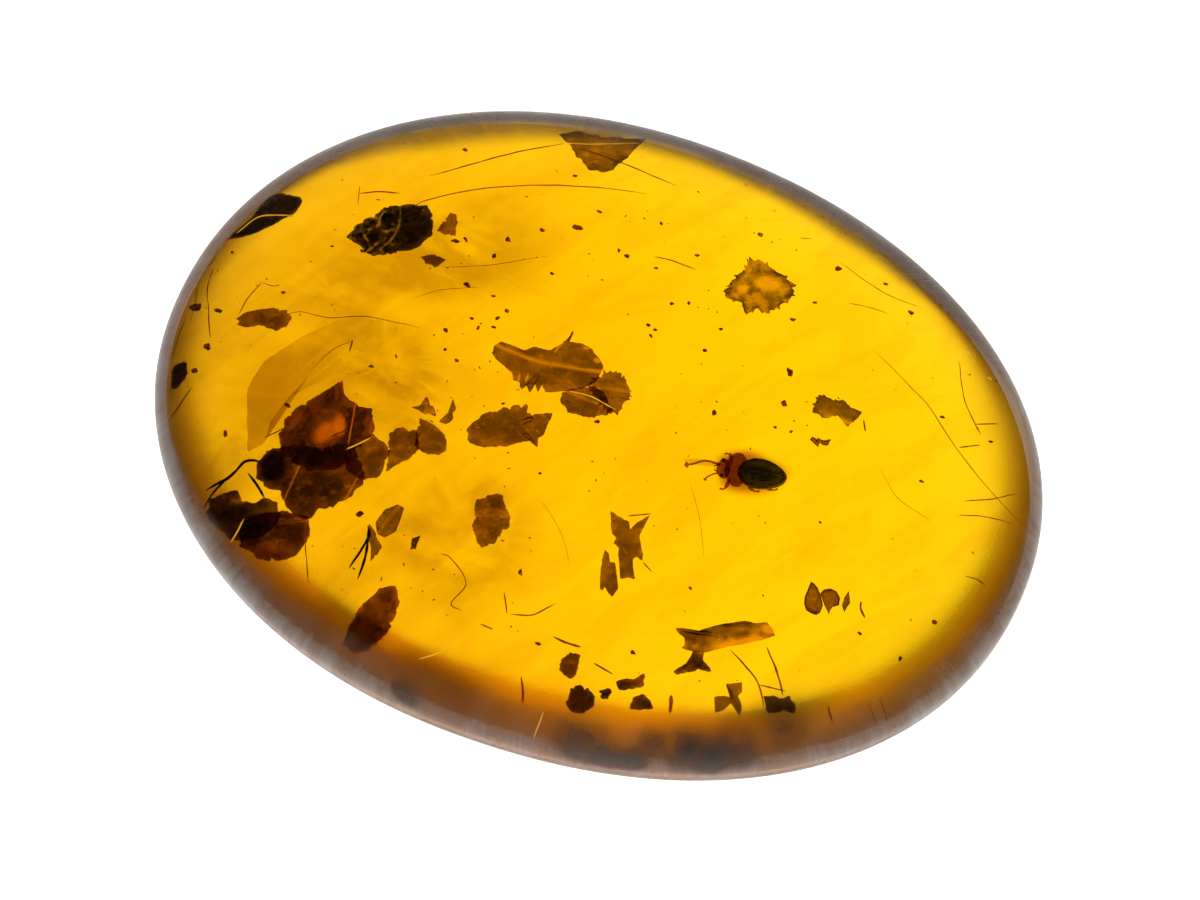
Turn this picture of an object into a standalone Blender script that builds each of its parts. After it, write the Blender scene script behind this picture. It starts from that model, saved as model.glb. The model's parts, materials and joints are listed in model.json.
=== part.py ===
"""An oval amber cabochon with a beetle and scraps of bark and leaf sealed inside.

+X runs along the stone, +Z up, and the origin is under the middle of the stone, on the plane of its
base. The amber is parted along the wavy layer in which the scraps lie, so that each one sits in a
pocket that opens at the parting. Lengths below are in millimetres, and MM makes them metres.
"""

import math
from collections import namedtuple

import bmesh
import bpy
from mathutils import Matrix, Vector
from mathutils.geometry import convex_hull_2d

MM = 0.001

# The stone: plan outline
LENGTH = 40.0
WIDTH = 30.8
OUTLINE_POWER = 2.11  # 2 is an ellipse, more is squarer
BLUNT_END = -0.068  # the end at -X is the fuller one
FULL_SIDE = 0.028  # the side at +Y is the fuller one

# The stone: section
HEIGHT = 9.5
GIRDLE = 5.0  # height of the widest line
DOME_POWER = 2.2
FOOT = 9.0  # how far the rounded underside runs in before the flat base
SEGMENTS = 48
RINGS = 16  # an even number, so that one ring is the girdle

# The layer of scraps, and the parting along it
WAVE = 1.5
WAVE_LONG = 5.0
WAVE_ACROSS = 6.0
WAVE_START, WAVE_SIDE = 0.9, -0.2  # where the wave begins along and across the stone, in radians
LAYER_DROP = 0.3
PARTING = 0.2
PARTING_CELLS = (16, 12)

# The scraps
POCKET_GAP = 0.2
LAYER_TURN = math.radians(23.6)  # the scraps are drawn on axes turned this far from +X

TONES = {  # base colour, roughness
    "black": ((0.02, 0.012, 0.006), 0.6),
    "brown": ((0.10, 0.045, 0.012), 0.6),
    "russet": ((0.25, 0.06, 0.01), 0.5),
    "olive": ((0.16, 0.11, 0.02), 0.6),
    "tan": ((0.35, 0.20, 0.05), 0.5),
    "shell": ((0.02, 0.02, 0.03), 0.3),
    "resin": ((0.45, 0.24, 0.01), 0.3),
}
AMBER_COLOUR = (1.0, 0.62, 0.03)
AMBER_IOR = 1.54

Scrap = namedtuple("Scrap", "name at outline thick lift lean tone")
SCRAPS = (
    Scrap("red_bark", (-10.6, -4.5), ((-2.0, -1.3), (-2.0, -0.6), (-1.8, 0.1), (-1.3, 0.6),
          (-0.4, 1.2), (0.6, 1.8), (0.8, 1.2), (1.2, 0.7), (1.8, 0.5), (2.0, -0.2), (1.8, -0.9),
          (1.1, -1.4), (0.6, -1.8), (-0.4, -1.8), (-1.2, -1.6)), 0.5, 0.55, (-3, -3), "russet"),
    Scrap("bark_core", (-9.9, -7.5), ((-2.2, 1.1), (-1.9, 1.5), (-1.1, 1.6), (-0.3, 1.4), (0.4, 1.2),
          (1.2, 1.3), (1.8, 1.5), (2.0, 1.0), (2.3, 0.4), (2.2, -0.2), (1.7, -0.7), (1.1, -1.1),
          (0.4, -1.2), (0.0, -1.6), (-0.5, -1.4), (-1.0, -1.0), (-1.3, -0.4), (-1.8, -0.2), (-2.3, 0.3)),
          0.5, -0.5, (-4, 2), "brown"),
    Scrap("olive_bark", (-8.0, -5.4), ((-0.8, 0.4), (-0.4, 0.8), (0.0, 1.0), (0.4, 0.7), (0.8, 0.2),
          (0.5, -0.5), (0.2, -1.0), (-0.2, -1.0), (-0.6, -0.4)), 0.4, 0.3, (0, 0), "olive"),
    Scrap("flow_sheet", (-11.9, -3.0), ((-2.9, -0.3), (-2.3, 1.0), (-0.7, 2.2), (1.5, 3.2), (2.8, 2.9),
          (2.9, 1.8), (2.2, 0.7), (0.9, 0.3), (-0.3, -0.3), (-1.2, -0.9), (-1.8, -1.8), (-2.0, -2.8),
          (-2.7, -3.2)), 0.3, 0.0, (0, 0), "resin"),
    Scrap("black_bark", (-12.1, -10.0), ((-1.5, 0.2), (-1.2, 0.7), (-0.8, 1.0), (-0.1, 1.1),
          (0.1, 0.7), (0.8, 0.6), (1.1, 0.8), (1.5, 0.5), (1.5, -0.1), (1.0, -0.7), (0.3, -1.1),
          (-0.4, -0.9), (-1.1, -0.4)), 0.6, 0.35, (3, 3), "black"),
    Scrap("brown_block", (-10.3, -10.2), ((-1.2, 0.3), (-0.3, 0.8), (0.6, 0.9), (1.5, 0.6), (1.5, 0.1),
          (1.4, -0.4), (0.7, -0.6), (0.0, -0.9), (-0.8, -0.8), (-1.5, -0.3)), 0.5, -0.4, (-3, 4), "russet"),
    Scrap("striped_bark", (-2.9, 1.4), ((-2.4, 0.3), (-2.0, 0.8), (-1.0, 0.5), (-0.6, 0.7), (0.1, 0.6),
          (0.5, 0.8), (1.1, 1.5), (1.1, 1.1), (1.6, 1.0), (2.1, 0.6), (2.4, -0.1), (2.1, -0.7),
          (1.5, -1.3), (0.7, -1.5), (-0.1, -1.3), (-0.8, -1.5), (-1.4, -1.3), (-1.7, -0.5),
          (-2.3, -0.2)), 0.5, 0.1, (4, -4), "brown"),
    Scrap("bark_lobe", (-0.5, -0.0), ((-0.9, 0.4), (-0.2, 0.6), (0.3, 0.6), (0.7, 0.3), (1.0, -0.4),
          (0.2, -0.6), (-0.7, -0.5), (-1.0, 0.0)), 0.4, -0.35, (-4, 4), "brown"),
    Scrap("fringed_bark", (0.3, 0.9), ((-0.8, 0.3), (-0.4, 0.7), (0.0, 0.9), (0.5, 0.8), (0.8, 0.2),
          (0.7, -0.4), (0.3, -0.8), (-0.1, -0.9), (-0.4, -0.3)), 0.4, 0.1, (4, 6), "brown"),
    Scrap("mid_bark", (-3.1, -2.1), ((-1.8, -0.1), (-1.6, 0.3), (-1.2, 0.7), (-0.5, 0.8), (-0.3, 1.0),
          (0.8, 1.1), (0.8, 0.7), (1.0, 0.3), (1.3, 0.6), (1.8, 0.6), (1.7, 0.1), (1.5, -0.5),
          (1.3, -0.7), (1.2, -1.1), (1.0, -0.7), (0.2, -0.9), (-1.1, -1.0), (-1.7, -0.7)),
          0.5, 0.0, (-6, -5), "brown"),
    Scrap("twin_bark", (-7.0, -4.7), ((-0.5, 0.8), (-0.1, 0.9), (0.6, 0.9), (0.6, 0.0), (0.3, -0.4),
          (-0.1, -0.6), (-0.6, -0.9), (-0.5, 0.0)), 0.5, 0.0, (6, 0), "brown"),
    Scrap("domed_bark", (-6.0, -3.6), ((-0.6, 0.3), (-0.4, 0.7), (0.0, 0.7), (0.3, 0.3), (0.6, -0.2),
          (0.5, -0.6), (-0.3, -0.7), (-0.6, -0.5)), 0.5, 0.0, (0, 8), "brown"),
    Scrap("v_leaf", (-5.9, -2.3), ((-0.3, -0.4), (0.0, 0.0), (0.2, 0.6), (0.3, 0.1), (0.2, -0.4),
          (-0.1, -0.6)), 0.3, 0.1, (0, 10), "olive"),
    Scrap("wing_scrap", (-7.0, -2.4), ((-0.6, 0.0), (-0.1, 0.1), (0.1, 0.5), (0.3, 0.1), (0.5, -0.1),
          (0.6, -0.5), (0.1, -0.3)), 0.3, 0.0, (12, 0), "tan"),
    Scrap("top_bark", (-12.1, 5.0), ((-1.9, -0.3), (-1.6, 0.2), (-1.0, 0.7), (-0.3, 1.2), (0.6, 1.3),
          (1.6, 1.3), (1.9, 0.6), (1.9, -0.2), (1.3, -0.8), (0.0, -1.2), (-0.7, -1.3), (-1.2, -0.9)),
          0.7, 0.1, (6, 6), "black"),
    Scrap("small_leaf", (-9.9, 6.2), ((-0.5, -0.3), (-0.2, 0.2), (0.1, 0.6), (0.4, 0.5), (0.5, 0.0),
          (0.4, -0.6), (-0.1, -0.5)), 0.3, 0.1, (0, -12), "brown"),
    Scrap("bark_crumb", (-9.7, 4.4), ((-0.5, 0.2), (0.1, 0.3), (0.5, 0.0), (0.2, -0.3), (-0.4, -0.2)),
          0.3, 0.0, (0, 0), "brown"),
    Scrap("rim_flake", (-16.9, 4.6), ((-0.7, -0.4), (-0.4, 0.1), (0.0, 0.4), (0.7, 0.5), (0.6, -0.1),
          (0.0, -0.5)), 0.4, 0.0, (0, 10), "black"),
    Scrap("top_wedge", (-5.3, 12.3), ((-1.7, 0.8), (-0.4, 1.2), (1.0, 1.1), (1.7, 0.6), (1.2, -0.3),
          (0.6, -1.0), (-0.2, -1.2), (-1.0, -0.7)), 0.5, 0.0, (-4, 0), "olive"),
    Scrap("fuzzy_tuft", (4.1, 8.5), ((-1.6, 0.2), (-1.2, 1.0), (-0.7, 1.4), (0.2, 1.4), (0.9, 1.3),
          (1.5, 0.8), (1.6, 0.0), (1.2, -0.8), (0.4, -1.3), (-0.4, -1.4), (-1.2, -1.0)),
          0.5, 0.0, (5, 5), "tan"),
    Scrap("grey_blade", (9.4, 4.2), ((-1.1, 0.4), (-0.7, 0.7), (-0.1, 0.6), (0.4, 0.4), (1.1, -0.2),
          (1.0, -0.4), (0.4, -0.7), (0.2, -0.4), (-0.5, -0.1), (-0.7, -0.2)), 0.3, 0.1, (10, 5), "olive"),
    Scrap("zigzag_scrap", (9.3, 2.6), ((-0.4, 0.0), (0.1, 0.3), (0.4, 0.0), (0.3, -0.3), (-0.3, -0.3)),
          0.3, 0.0, (0, 0), "brown"),
    Scrap("spiky_leaf", (3.9, -5.2), ((-0.9, 1.5), (-0.5, 1.3), (-0.1, 1.2), (0.0, 0.8), (0.4, 1.1),
          (0.9, 1.3), (0.6, 0.6), (0.3, 0.2), (0.5, -0.3), (0.5, -0.8), (0.2, -0.6), (0.2, -1.5),
          (-0.4, -1.5), (-0.5, -0.8), (-0.5, 0.2), (-0.8, 0.8)), 0.4, 0.1, (4, 10), "brown"),
    Scrap("spindle", (3.5, -6.6), ((-0.2, 1.0), (0.0, 0.9), (0.2, 0.5), (0.4, -0.5), (0.2, -1.0),
          (0.0, -0.7), (-0.1, -0.9), (-0.4, -0.6), (-0.3, 0.2)), 0.3, -0.1, (0, 0), "brown"),
    Scrap("banded_seed", (-2.0, -6.4), ((-0.7, 0.5), (-0.6, 1.0), (-0.2, 1.2), (0.5, 1.2), (0.6, 0.9),
          (0.8, 0.3), (0.8, -0.2), (0.4, -0.5), (0.2, -0.9), (-0.4, -1.2), (-0.6, -0.8), (-0.8, -0.2)),
          0.6, 0.0, (0, 6), "brown"),
    Scrap("forked_leaf", (-6.2, -9.1), ((-0.2, 0.9), (0.1, 0.5), (0.3, -0.1), (0.2, -0.5),
          (-0.1, -0.9), (-0.1, -0.2), (-0.3, 0.3)), 0.3, 0.1, (0, 0), "olive"),
    Scrap("petal", (-6.0, -7.9), ((-0.6, 0.0), (-0.2, 0.6), (0.3, 0.8), (0.6, 0.6), (0.5, 0.2),
          (0.3, -0.5), (-0.2, -0.8), (-0.5, -0.6)), 0.3, 0.0, (-8, 0), "olive"),
    Scrap("square_crumb", (-4.6, -8.4), ((-0.2, -0.3), (-0.1, 0.2), (0.2, 0.3), (0.1, -0.2),
          (0.0, -0.3)), 0.3, 0.0, (0, 0), "black"),
    Scrap("red_leaf", (-4.9, -12.1), ((-1.2, -1.0), (-0.8, -0.1), (-0.3, 0.6), (0.3, 1.2), (1.0, 1.3),
          (1.2, 0.6), (1.0, -0.1), (0.6, -0.8), (0.0, -1.2), (-0.6, -1.3)), 0.5, 0.0, (12, 0), "russet"),
    Scrap("pod", (9.0, -7.2), ((-2.0, 0.4), (-1.5, 0.1), (-0.9, 0.3), (0.0, 0.6), (0.8, 0.7),
          (1.7, 0.6), (2.0, 0.3), (1.9, -0.1), (1.2, -0.2), (0.1, -0.5), (-0.7, -0.7), (-1.3, -0.7),
          (-1.7, -0.4)), 0.5, 0.1, (-10, 0), "tan"),
    Scrap("pod_stub", (8.3, -8.8), ((-0.1, 0.3), (0.4, 0.4), (0.5, 0.2), (0.7, -0.2), (0.2, -0.1),
          (-0.7, -0.4), (-0.3, 0.0)), 0.3, 0.0, (0, 0), "brown"),
    Scrap("dark_chip", (12.2, -8.9), ((-0.6, 0.2), (-0.3, 0.4), (0.0, 0.3), (0.4, 0.4), (0.6, 0.2),
          (0.5, -0.3), (-0.1, -0.4), (-0.5, -0.3)), 0.4, 0.0, (0, 0), "black"),
    Scrap("triangle_scrap", (10.2, -9.5), ((-0.5, 0.4), (0.0, 0.6), (0.5, 0.7), (0.5, 0.2),
          (0.3, -0.3), (0.1, -0.7), (-0.1, -0.2), (-0.5, -0.5)), 0.3, 0.0, (0, 12), "brown"),
    Scrap("leaflet_a", (11.7, -4.1), ((-0.1, 0.7), (0.1, 0.4), (0.3, 0.1), (0.4, -0.3), (0.1, -0.7),
          (-0.2, -0.7), (-0.4, -0.4), (-0.4, 0.2)), 0.3, 0.1, (0, 14), "brown"),
    Scrap("leaflet_b", (12.5, -3.8), ((-0.4, 0.3), (-0.1, 0.6), (0.1, 0.5), (0.4, 0.0), (0.0, -0.3),
          (-0.1, -0.6), (-0.3, -0.1)), 0.3, -0.1, (0, -10), "olive"),
    Scrap("leaflet_c", (13.0, -3.6), ((0.1, 0.5), (0.1, 0.1), (0.0, -0.3), (-0.1, -0.5), (-0.1, 0.0)),
          0.3, 0.1, (8, 0), "brown"),
    Scrap("bottom_chip_a", (3.6, -10.7), ((-0.4, 0.4), (0.0, 0.5), (0.2, 0.5), (0.4, 0.0), (0.1, -0.5),
          (-0.3, -0.3)), 0.4, 0.1, (0, 0), "black"),
    Scrap("bottom_chip_b", (4.5, -11.7), ((-0.6, -0.1), (-0.3, 0.3), (0.2, 0.4), (0.6, 0.0),
          (0.5, -0.4), (-0.3, -0.4)), 0.4, -0.1, (0, 10), "brown"),
    Scrap("bottom_chip_c", (5.1, -10.7), ((-0.3, 0.1), (0.1, 0.3), (0.3, 0.0), (0.1, -0.3),
          (-0.2, -0.3)), 0.3, 0.0, (0, 0), "black"),
    Scrap("bottom_chip_d", (6.2, -10.4), ((-0.6, -0.1), (-0.2, 0.2), (0.6, 0.3), (0.6, -0.2),
          (0.2, -0.3), (-0.3, -0.3)), 0.4, 0.1, (0, -8), "black"),
    Scrap("bottom_chip_e", (7.0, -11.0), ((-0.4, 0.1), (-0.1, 0.2), (0.4, 0.1), (0.3, -0.2),
          (-0.3, -0.2)), 0.3, -0.1, (0, 0), "brown"),
    Scrap("left_flake", (-15.0, -1.0), ((-0.8, 0.0), (-0.4, 0.3), (0.2, 0.5), (0.8, 0.1), (0.5, -0.4),
          (-0.3, -0.5)), 0.3, 0.1, (0, 8), "brown"),
    Scrap("rim_patch", (-17.6, -5.0), ((-0.3, 0.0), (-0.1, 0.6), (0.3, 0.6), (0.3, -0.1), (0.0, -0.6)),
          0.4, 0.0, (0, 0), "black"),
)

# Thin rooted things are bent rods: a place, the points of each branch, and a radius
Rod = namedtuple("Rod", "name at branches radius tone")
RODS = (
    Rod("rootlet", (-13.2, -8.0), (((0.8, 0.6), (0.3, 0.7), (-0.4, 0.0), (-1.2, -0.7)),), 0.09, "black"),
    Rod("bristle_pair", (-6.9, -9.9), (((0.3, 1.1), (0.2, 0.6), (-0.5, -0.7)),), 0.08, "black"),
)

# The beetle, head towards -u on the layer's turned axes
BEETLE_AT = (7.3, -0.2)
BEETLE_TURN = math.radians(-8)
# each bead: centre (u, v, w), half sizes
BEETLE_BEADS = (
    ((0.45, 0.00, 0.00), (1.05, 0.70, 0.50)),  # wing cases
    ((-0.66, 0.06, -0.02), (0.52, 0.82, 0.40)),  # thorax
    ((-1.20, 0.04, -0.08), (0.30, 0.48, 0.28)),  # head
)
# each limb: the points it bends through, and its radius
BEETLE_LIMBS = (
    (((-1.35, 0.20, 0.0), (-2.0, 0.24, 0.1), (-2.5, 0.02, 0.1)), 0.06),  # antenna
    (((-1.35, -0.20, 0.0), (-1.70, -0.35, 0.0), (-1.90, -0.60, 0.05)), 0.06),  # folded antenna
    (((-0.90, 0.40, -0.2), (-0.98, 0.90, -0.2), (-1.20, 0.98, -0.3)), 0.07),  # fore legs
    (((-0.90, -0.40, -0.2), (-1.05, -0.76, -0.2), (-1.35, -0.80, -0.3)), 0.07),
    (((-0.10, 0.40, -0.2), (0.10, 0.80, -0.2), (0.42, 0.84, -0.3)), 0.07),  # middle legs
    (((-0.10, -0.40, -0.2), (0.10, -0.80, -0.2), (0.42, -0.84, -0.3)), 0.07),
    (((0.50, 0.40, -0.2), (0.90, 0.70, -0.2), (1.25, 0.62, -0.3)), 0.07),  # hind legs
    (((0.50, -0.40, -0.2), (0.90, -0.70, -0.2), (1.25, -0.62, -0.3)), 0.07),
)
CLUB = ((-2.72, -0.04, 0.1), (0.26, 0.13, 0.12))
BEAD_SEGMENTS = 14
LIMB_SIDES = 1  # a curve's bevel resolution: 6 sides


def clear_scene():
    for obj in list(bpy.data.objects):
        bpy.data.objects.remove(obj)


def collection(name, shown=True):
    group = bpy.data.collections.new(name)
    bpy.context.scene.collection.children.link(group)
    group.hide_render = not shown
    return group


def plan_radius(angle):
    """Distance from the outline's own centre to its edge: a superellipse, fuller at one end and one side."""
    long_part = (abs(math.cos(angle)) / (LENGTH / 2)) ** OUTLINE_POWER
    wide_part = (abs(math.sin(angle)) / (WIDTH / 2)) ** OUTLINE_POWER
    radius = (long_part + wide_part) ** (-1 / OUTLINE_POWER)
    return radius * (1 + BLUNT_END * math.cos(angle) + FULL_SIDE * math.sin(angle))


def plan_middle():
    """The middle of the outline's box, which is moved to the origin."""
    angles = [math.tau * i / SEGMENTS for i in range(SEGMENTS)]
    across = [plan_radius(a) * math.cos(a) for a in angles]
    along = [plan_radius(a) * math.sin(a) for a in angles]
    return (max(across) + min(across)) / 2, (max(along) + min(along)) / 2


MIDDLE = plan_middle()


def layer_height(x, y):
    """Height of the wavy layer that the scraps lie in: at the girdle all round, waving inside."""
    px, py = x + MIDDLE[0], y + MIDDLE[1]
    share = min(math.hypot(px, py) / plan_radius(math.atan2(py, px)), 1.0)
    wave = WAVE * math.sin(x / WAVE_LONG + WAVE_START) * math.cos(y / WAVE_ACROSS + WAVE_SIDE) - LAYER_DROP
    return GIRDLE + (1 - share * share) * wave


def add(name, mesh_or_curve, group, tone=None):
    obj = bpy.data.objects.new(name, mesh_or_curve)
    group.objects.link(obj)
    if tone:
        mesh_or_curve.materials.append(MATERIALS[tone])
    return obj


def make_tone(name, colour, roughness):
    material = bpy.data.materials.new(name)
    material.use_nodes = True
    shader = material.node_tree.nodes["Principled BSDF"]
    shader.inputs["Base Color"].default_value = (*colour, 1)
    shader.inputs["Roughness"].default_value = roughness
    shader.inputs["Metallic"].default_value = 0.0
    return material


def make_amber_material():
    material = make_tone("amber", AMBER_COLOUR, 0.03)
    shader = material.node_tree.nodes["Principled BSDF"]
    shader.inputs["Transmission Weight"].default_value = 1.0
    shader.inputs["IOR"].default_value = AMBER_IOR
    return material


def as_mesh(curve_obj, group):
    """The curve object as a mesh with its caps welded, in the same place."""
    graph = bpy.context.evaluated_depsgraph_get()
    mesh = bpy.data.meshes.new_from_object(curve_obj.evaluated_get(graph))
    bm = bmesh.new()
    bm.from_mesh(mesh)
    bmesh.ops.remove_doubles(bm, verts=bm.verts, dist=1e-7)
    bmesh.ops.recalc_face_normals(bm, faces=bm.faces)
    bm.to_mesh(mesh)
    bm.free()
    name, place = curve_obj.name, curve_obj.matrix_world.copy()
    bpy.data.objects.remove(curve_obj)
    obj = add(name, mesh, group)
    obj.matrix_world = place
    return obj


def cut(obj, group, operation):
    """A Boolean with every object of a collection."""
    modifier = obj.modifiers.new(operation.lower(), "BOOLEAN")
    modifier.operation = operation
    modifier.operand_type = "COLLECTION"
    modifier.collection = group


def settle(obj):
    """Applies the modifiers, so that the mesh can be cut again or used as a cutter."""
    graph = bpy.context.evaluated_depsgraph_get()
    mesh = bpy.data.meshes.new_from_object(obj.evaluated_get(graph))
    obj.modifiers.clear()
    obj.data = mesh


def layer_frame(at, lift=0.0, lean=(0, 0), turn=0.0):
    """World matrix of a scrap's own axes: on the layer, turned with it, then leant by two angles in degrees."""
    place = Vector((at[0], at[1], layer_height(*at) + lift)) * MM
    spin = Matrix.Rotation(LAYER_TURN + turn, 4, "Z")
    tilt = Matrix.Rotation(math.radians(lean[0]), 4, "X") @ Matrix.Rotation(math.radians(lean[1]), 4, "Y")
    return Matrix.Translation(place) @ spin @ tilt


def stone_point(direction):
    """Where a point of the unit ball goes: out to the outline, up to the dome or down to the foot."""
    angle = math.atan2(direction.y, direction.x)
    radius = plan_radius(angle)
    down = math.acos(max(-1.0, min(1.0, direction.z)))
    if down <= math.pi / 2:
        share = math.sin(down)
        height = GIRDLE + (HEIGHT - GIRDLE) * math.sqrt(max(0.0, 1 - share**DOME_POWER))
    else:
        last_ring = math.pi * (RINGS - 1) / RINGS
        sweep = min((down - math.pi / 2) / (last_ring - math.pi / 2), 1.0) * math.pi / 2
        share = 1 - FOOT * (1 - math.cos(sweep)) / radius
        height = GIRDLE * (1 - math.sin(sweep))
        if down > last_ring + 1e-3:
            share = 0.0
    x = radius * share * math.cos(angle) - MIDDLE[0]
    y = radius * share * math.sin(angle) - MIDDLE[1]
    return Vector((x, y, height)) * MM


def make_stone(name, group):
    bm = bmesh.new()
    bmesh.ops.create_uvsphere(bm, u_segments=SEGMENTS, v_segments=RINGS, radius=1.0)
    for vert in bm.verts:
        vert.co = stone_point(vert.co)
    mesh = bpy.data.meshes.new(name)
    bm.to_mesh(mesh)
    bm.free()
    mesh.shade_smooth()
    return add(name, mesh, group, "amber")


def make_parting(name, group, side):
    """A block that holds all above the layer (side 1) or all below it (side -1), half the parting away."""
    bm = bmesh.new()
    bmesh.ops.create_grid(bm, x_segments=PARTING_CELLS[0], y_segments=PARTING_CELLS[1], size=0.5)
    for vert in bm.verts:
        x, y = vert.co.x * (LENGTH + 4), vert.co.y * (WIDTH + 4)
        vert.co = Vector((x, y, layer_height(x, y) + side * PARTING / 2)) * MM
    grown = bmesh.ops.extrude_face_region(bm, geom=bm.faces[:])["geom"]
    for part in grown:
        if isinstance(part, bmesh.types.BMVert):
            part.co.z = side * 2 * HEIGHT * MM
    bmesh.ops.recalc_face_normals(bm, faces=bm.faces)
    mesh = bpy.data.meshes.new(name)
    bm.to_mesh(mesh)
    bm.free()
    return add(name, mesh, group)


def make_flake(name, outline, thick, place, group, tone=None):
    """A flat plate of the outline, laid on a scrap's own axes."""
    curve = bpy.data.curves.new(name, "CURVE")
    curve.dimensions = "2D"
    curve.fill_mode = "BOTH"
    curve.extrude = thick / 2 * MM
    spline = curve.splines.new("POLY")
    spline.points.add(len(outline) - 1)
    for point, (u, v) in zip(spline.points, outline):
        point.co = (u * MM, v * MM, 0, 1)
    spline.use_cyclic_u = True
    obj = add(name, curve, group)
    obj.matrix_world = place
    obj = as_mesh(obj, group)
    if tone:
        obj.data.materials.append(MATERIALS[tone])
    return obj


def make_limb(name, points, radius, place, group, extra=0.0):
    """A round rod through the points, each end carried on by extra."""
    path = [Vector((*point, 0.0)[:3]) for point in points]
    path[0] = path[0] + (path[0] - path[1]).normalized() * extra
    path[-1] = path[-1] + (path[-1] - path[-2]).normalized() * extra
    curve = bpy.data.curves.new(name, "CURVE")
    curve.dimensions = "3D"
    curve.bevel_depth = (radius + extra) * MM
    curve.bevel_resolution = LIMB_SIDES
    curve.use_fill_caps = True
    spline = curve.splines.new("POLY")
    spline.points.add(len(path) - 1)
    for point, co in zip(spline.points, path):
        point.co = (*(co * MM), 1)
    obj = add(name, curve, group)
    obj.matrix_world = place
    return as_mesh(obj, group)


def make_bead(name, centre, half, place, group, extra=0.0):
    bm = bmesh.new()
    bmesh.ops.create_uvsphere(bm, u_segments=BEAD_SEGMENTS, v_segments=BEAD_SEGMENTS // 2, radius=1.0)
    for vert in bm.verts:
        vert.co = Vector([(c + (h + extra) * r) * MM for c, h, r in zip(centre, half, vert.co)])
    mesh = bpy.data.meshes.new(name)
    bm.to_mesh(mesh)
    bm.free()
    obj = add(name, mesh, group)
    obj.matrix_world = place
    return obj


def stretched_round(outline, gap):
    """A plain loop round the outline: its outermost points, each moved gap further from the middle."""
    corners = [outline[i] for i in convex_hull_2d(outline)]
    return [(u * (1 + gap / math.hypot(u, v)), v * (1 + gap / math.hypot(u, v))) for u, v in corners]


def make_scrap(scrap, parts, pockets):
    place = layer_frame(scrap.at, scrap.lift, scrap.lean)
    make_flake(scrap.name, scrap.outline, scrap.thick, place, parts, scrap.tone)
    wide = stretched_round(scrap.outline, POCKET_GAP * 1.5)
    make_flake("pocket_" + scrap.name, wide, scrap.thick + 2 * POCKET_GAP, place, pockets)


def make_rod(rod, parts, pockets):
    place = layer_frame(rod.at)
    for branch in rod.branches:
        obj = make_limb(rod.name, branch, rod.radius, place, parts)
        obj.data.materials.append(MATERIALS[rod.tone])
        make_limb("pocket_" + rod.name, branch, rod.radius, place, pockets, POCKET_GAP)


def make_beetle(name, group, extra=0.0):
    """Wing cases, thorax, head, antennae and legs in one solid, or that solid's pocket when extra is given."""
    pieces = collection(name + "_pieces", shown=False)
    place = layer_frame(BEETLE_AT, turn=BEETLE_TURN)
    for i, (centre, half) in enumerate((*BEETLE_BEADS[1:], CLUB)):
        make_bead(f"{name}_bead_{i}", centre, half, place, pieces, extra)
    for i, (points, radius) in enumerate(BEETLE_LIMBS):
        make_limb(f"{name}_limb_{i}", points, radius, place, pieces, extra)
    body = make_bead(name, *BEETLE_BEADS[0], place, group, extra)
    cut(body, pieces, "UNION")
    settle(body)
    return body


def main():
    clear_scene()
    for tone, (colour, roughness) in TONES.items():
        MATERIALS[tone] = make_tone(tone, colour, roughness)
    MATERIALS["amber"] = make_amber_material()
    parts = collection("insect_in_amber")
    pockets = collection("pockets", shown=False)
    for scrap in SCRAPS:
        make_scrap(scrap, parts, pockets)
    for rod in RODS:
        make_rod(rod, parts, pockets)
    beetle = make_beetle("beetle", parts)
    beetle.data.materials.append(MATERIALS["shell"])
    make_beetle("pocket_beetle", pockets, POCKET_GAP)
    for name, side in (("amber_upper", 1), ("amber_lower", -1)):
        half = make_stone(name, parts)
        blocks = collection(name + "_block", shown=False)
        make_parting(name + "_parting", blocks, side)
        cut(half, blocks, "INTERSECT")
        settle(half)
        cut(half, pockets, "DIFFERENCE")


MATERIALS = {}
main()
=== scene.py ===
"""The looks of an oval amber cabochon with a beetle and scraps of bark and leaf inside.

The stone, the beetle, the scraps, the hairs, the specks and the films of older resin are surfaces worked
out with numpy. Lengths are in millimetres until a mesh is made, where MM turns them into metres.
"""

import json
import math
from collections import namedtuple

import bmesh
import bpy
import numpy as np
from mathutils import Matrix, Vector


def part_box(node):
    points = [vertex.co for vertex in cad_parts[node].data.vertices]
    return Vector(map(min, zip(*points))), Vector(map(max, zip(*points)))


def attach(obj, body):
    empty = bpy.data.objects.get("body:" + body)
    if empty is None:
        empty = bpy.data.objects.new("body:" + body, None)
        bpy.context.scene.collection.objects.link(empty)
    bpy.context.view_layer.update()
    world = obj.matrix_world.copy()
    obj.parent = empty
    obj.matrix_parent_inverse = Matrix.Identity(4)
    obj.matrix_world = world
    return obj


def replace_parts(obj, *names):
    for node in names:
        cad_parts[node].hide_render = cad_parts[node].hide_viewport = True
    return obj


MM = 0.001

# The stone, as the frame has it, and how many points it has round it and rings down it
LENGTH, WIDTH = 40.0, 30.8
OUTLINE_POWER, BLUNT_END, FULL_SIDE = 2.11, -0.068, 0.028
HEIGHT, GIRDLE, DOME_POWER, FOOT = 9.5, 5.0, 2.2, 9.0
AROUND, DOWN_DOME, DOWN_FOOT = 240, 56, 34

# The wavy layer that the scraps lie in, and the turn of the axes that they are drawn on
WAVE, WAVE_LONG, WAVE_ACROSS, LAYER_DROP = 1.5, 5.0, 6.0, 0.3
WAVE_START, WAVE_SIDE = 0.9, -0.2
LAYER_TURN = math.radians(23.6)
SIDE = np.array((math.cos(LAYER_TURN), math.sin(LAYER_TURN), 0.0))
AHEAD = np.array((-math.sin(LAYER_TURN), math.cos(LAYER_TURN), 0.0))
UP = np.array((0.0, 0.0, 1.0))

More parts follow.
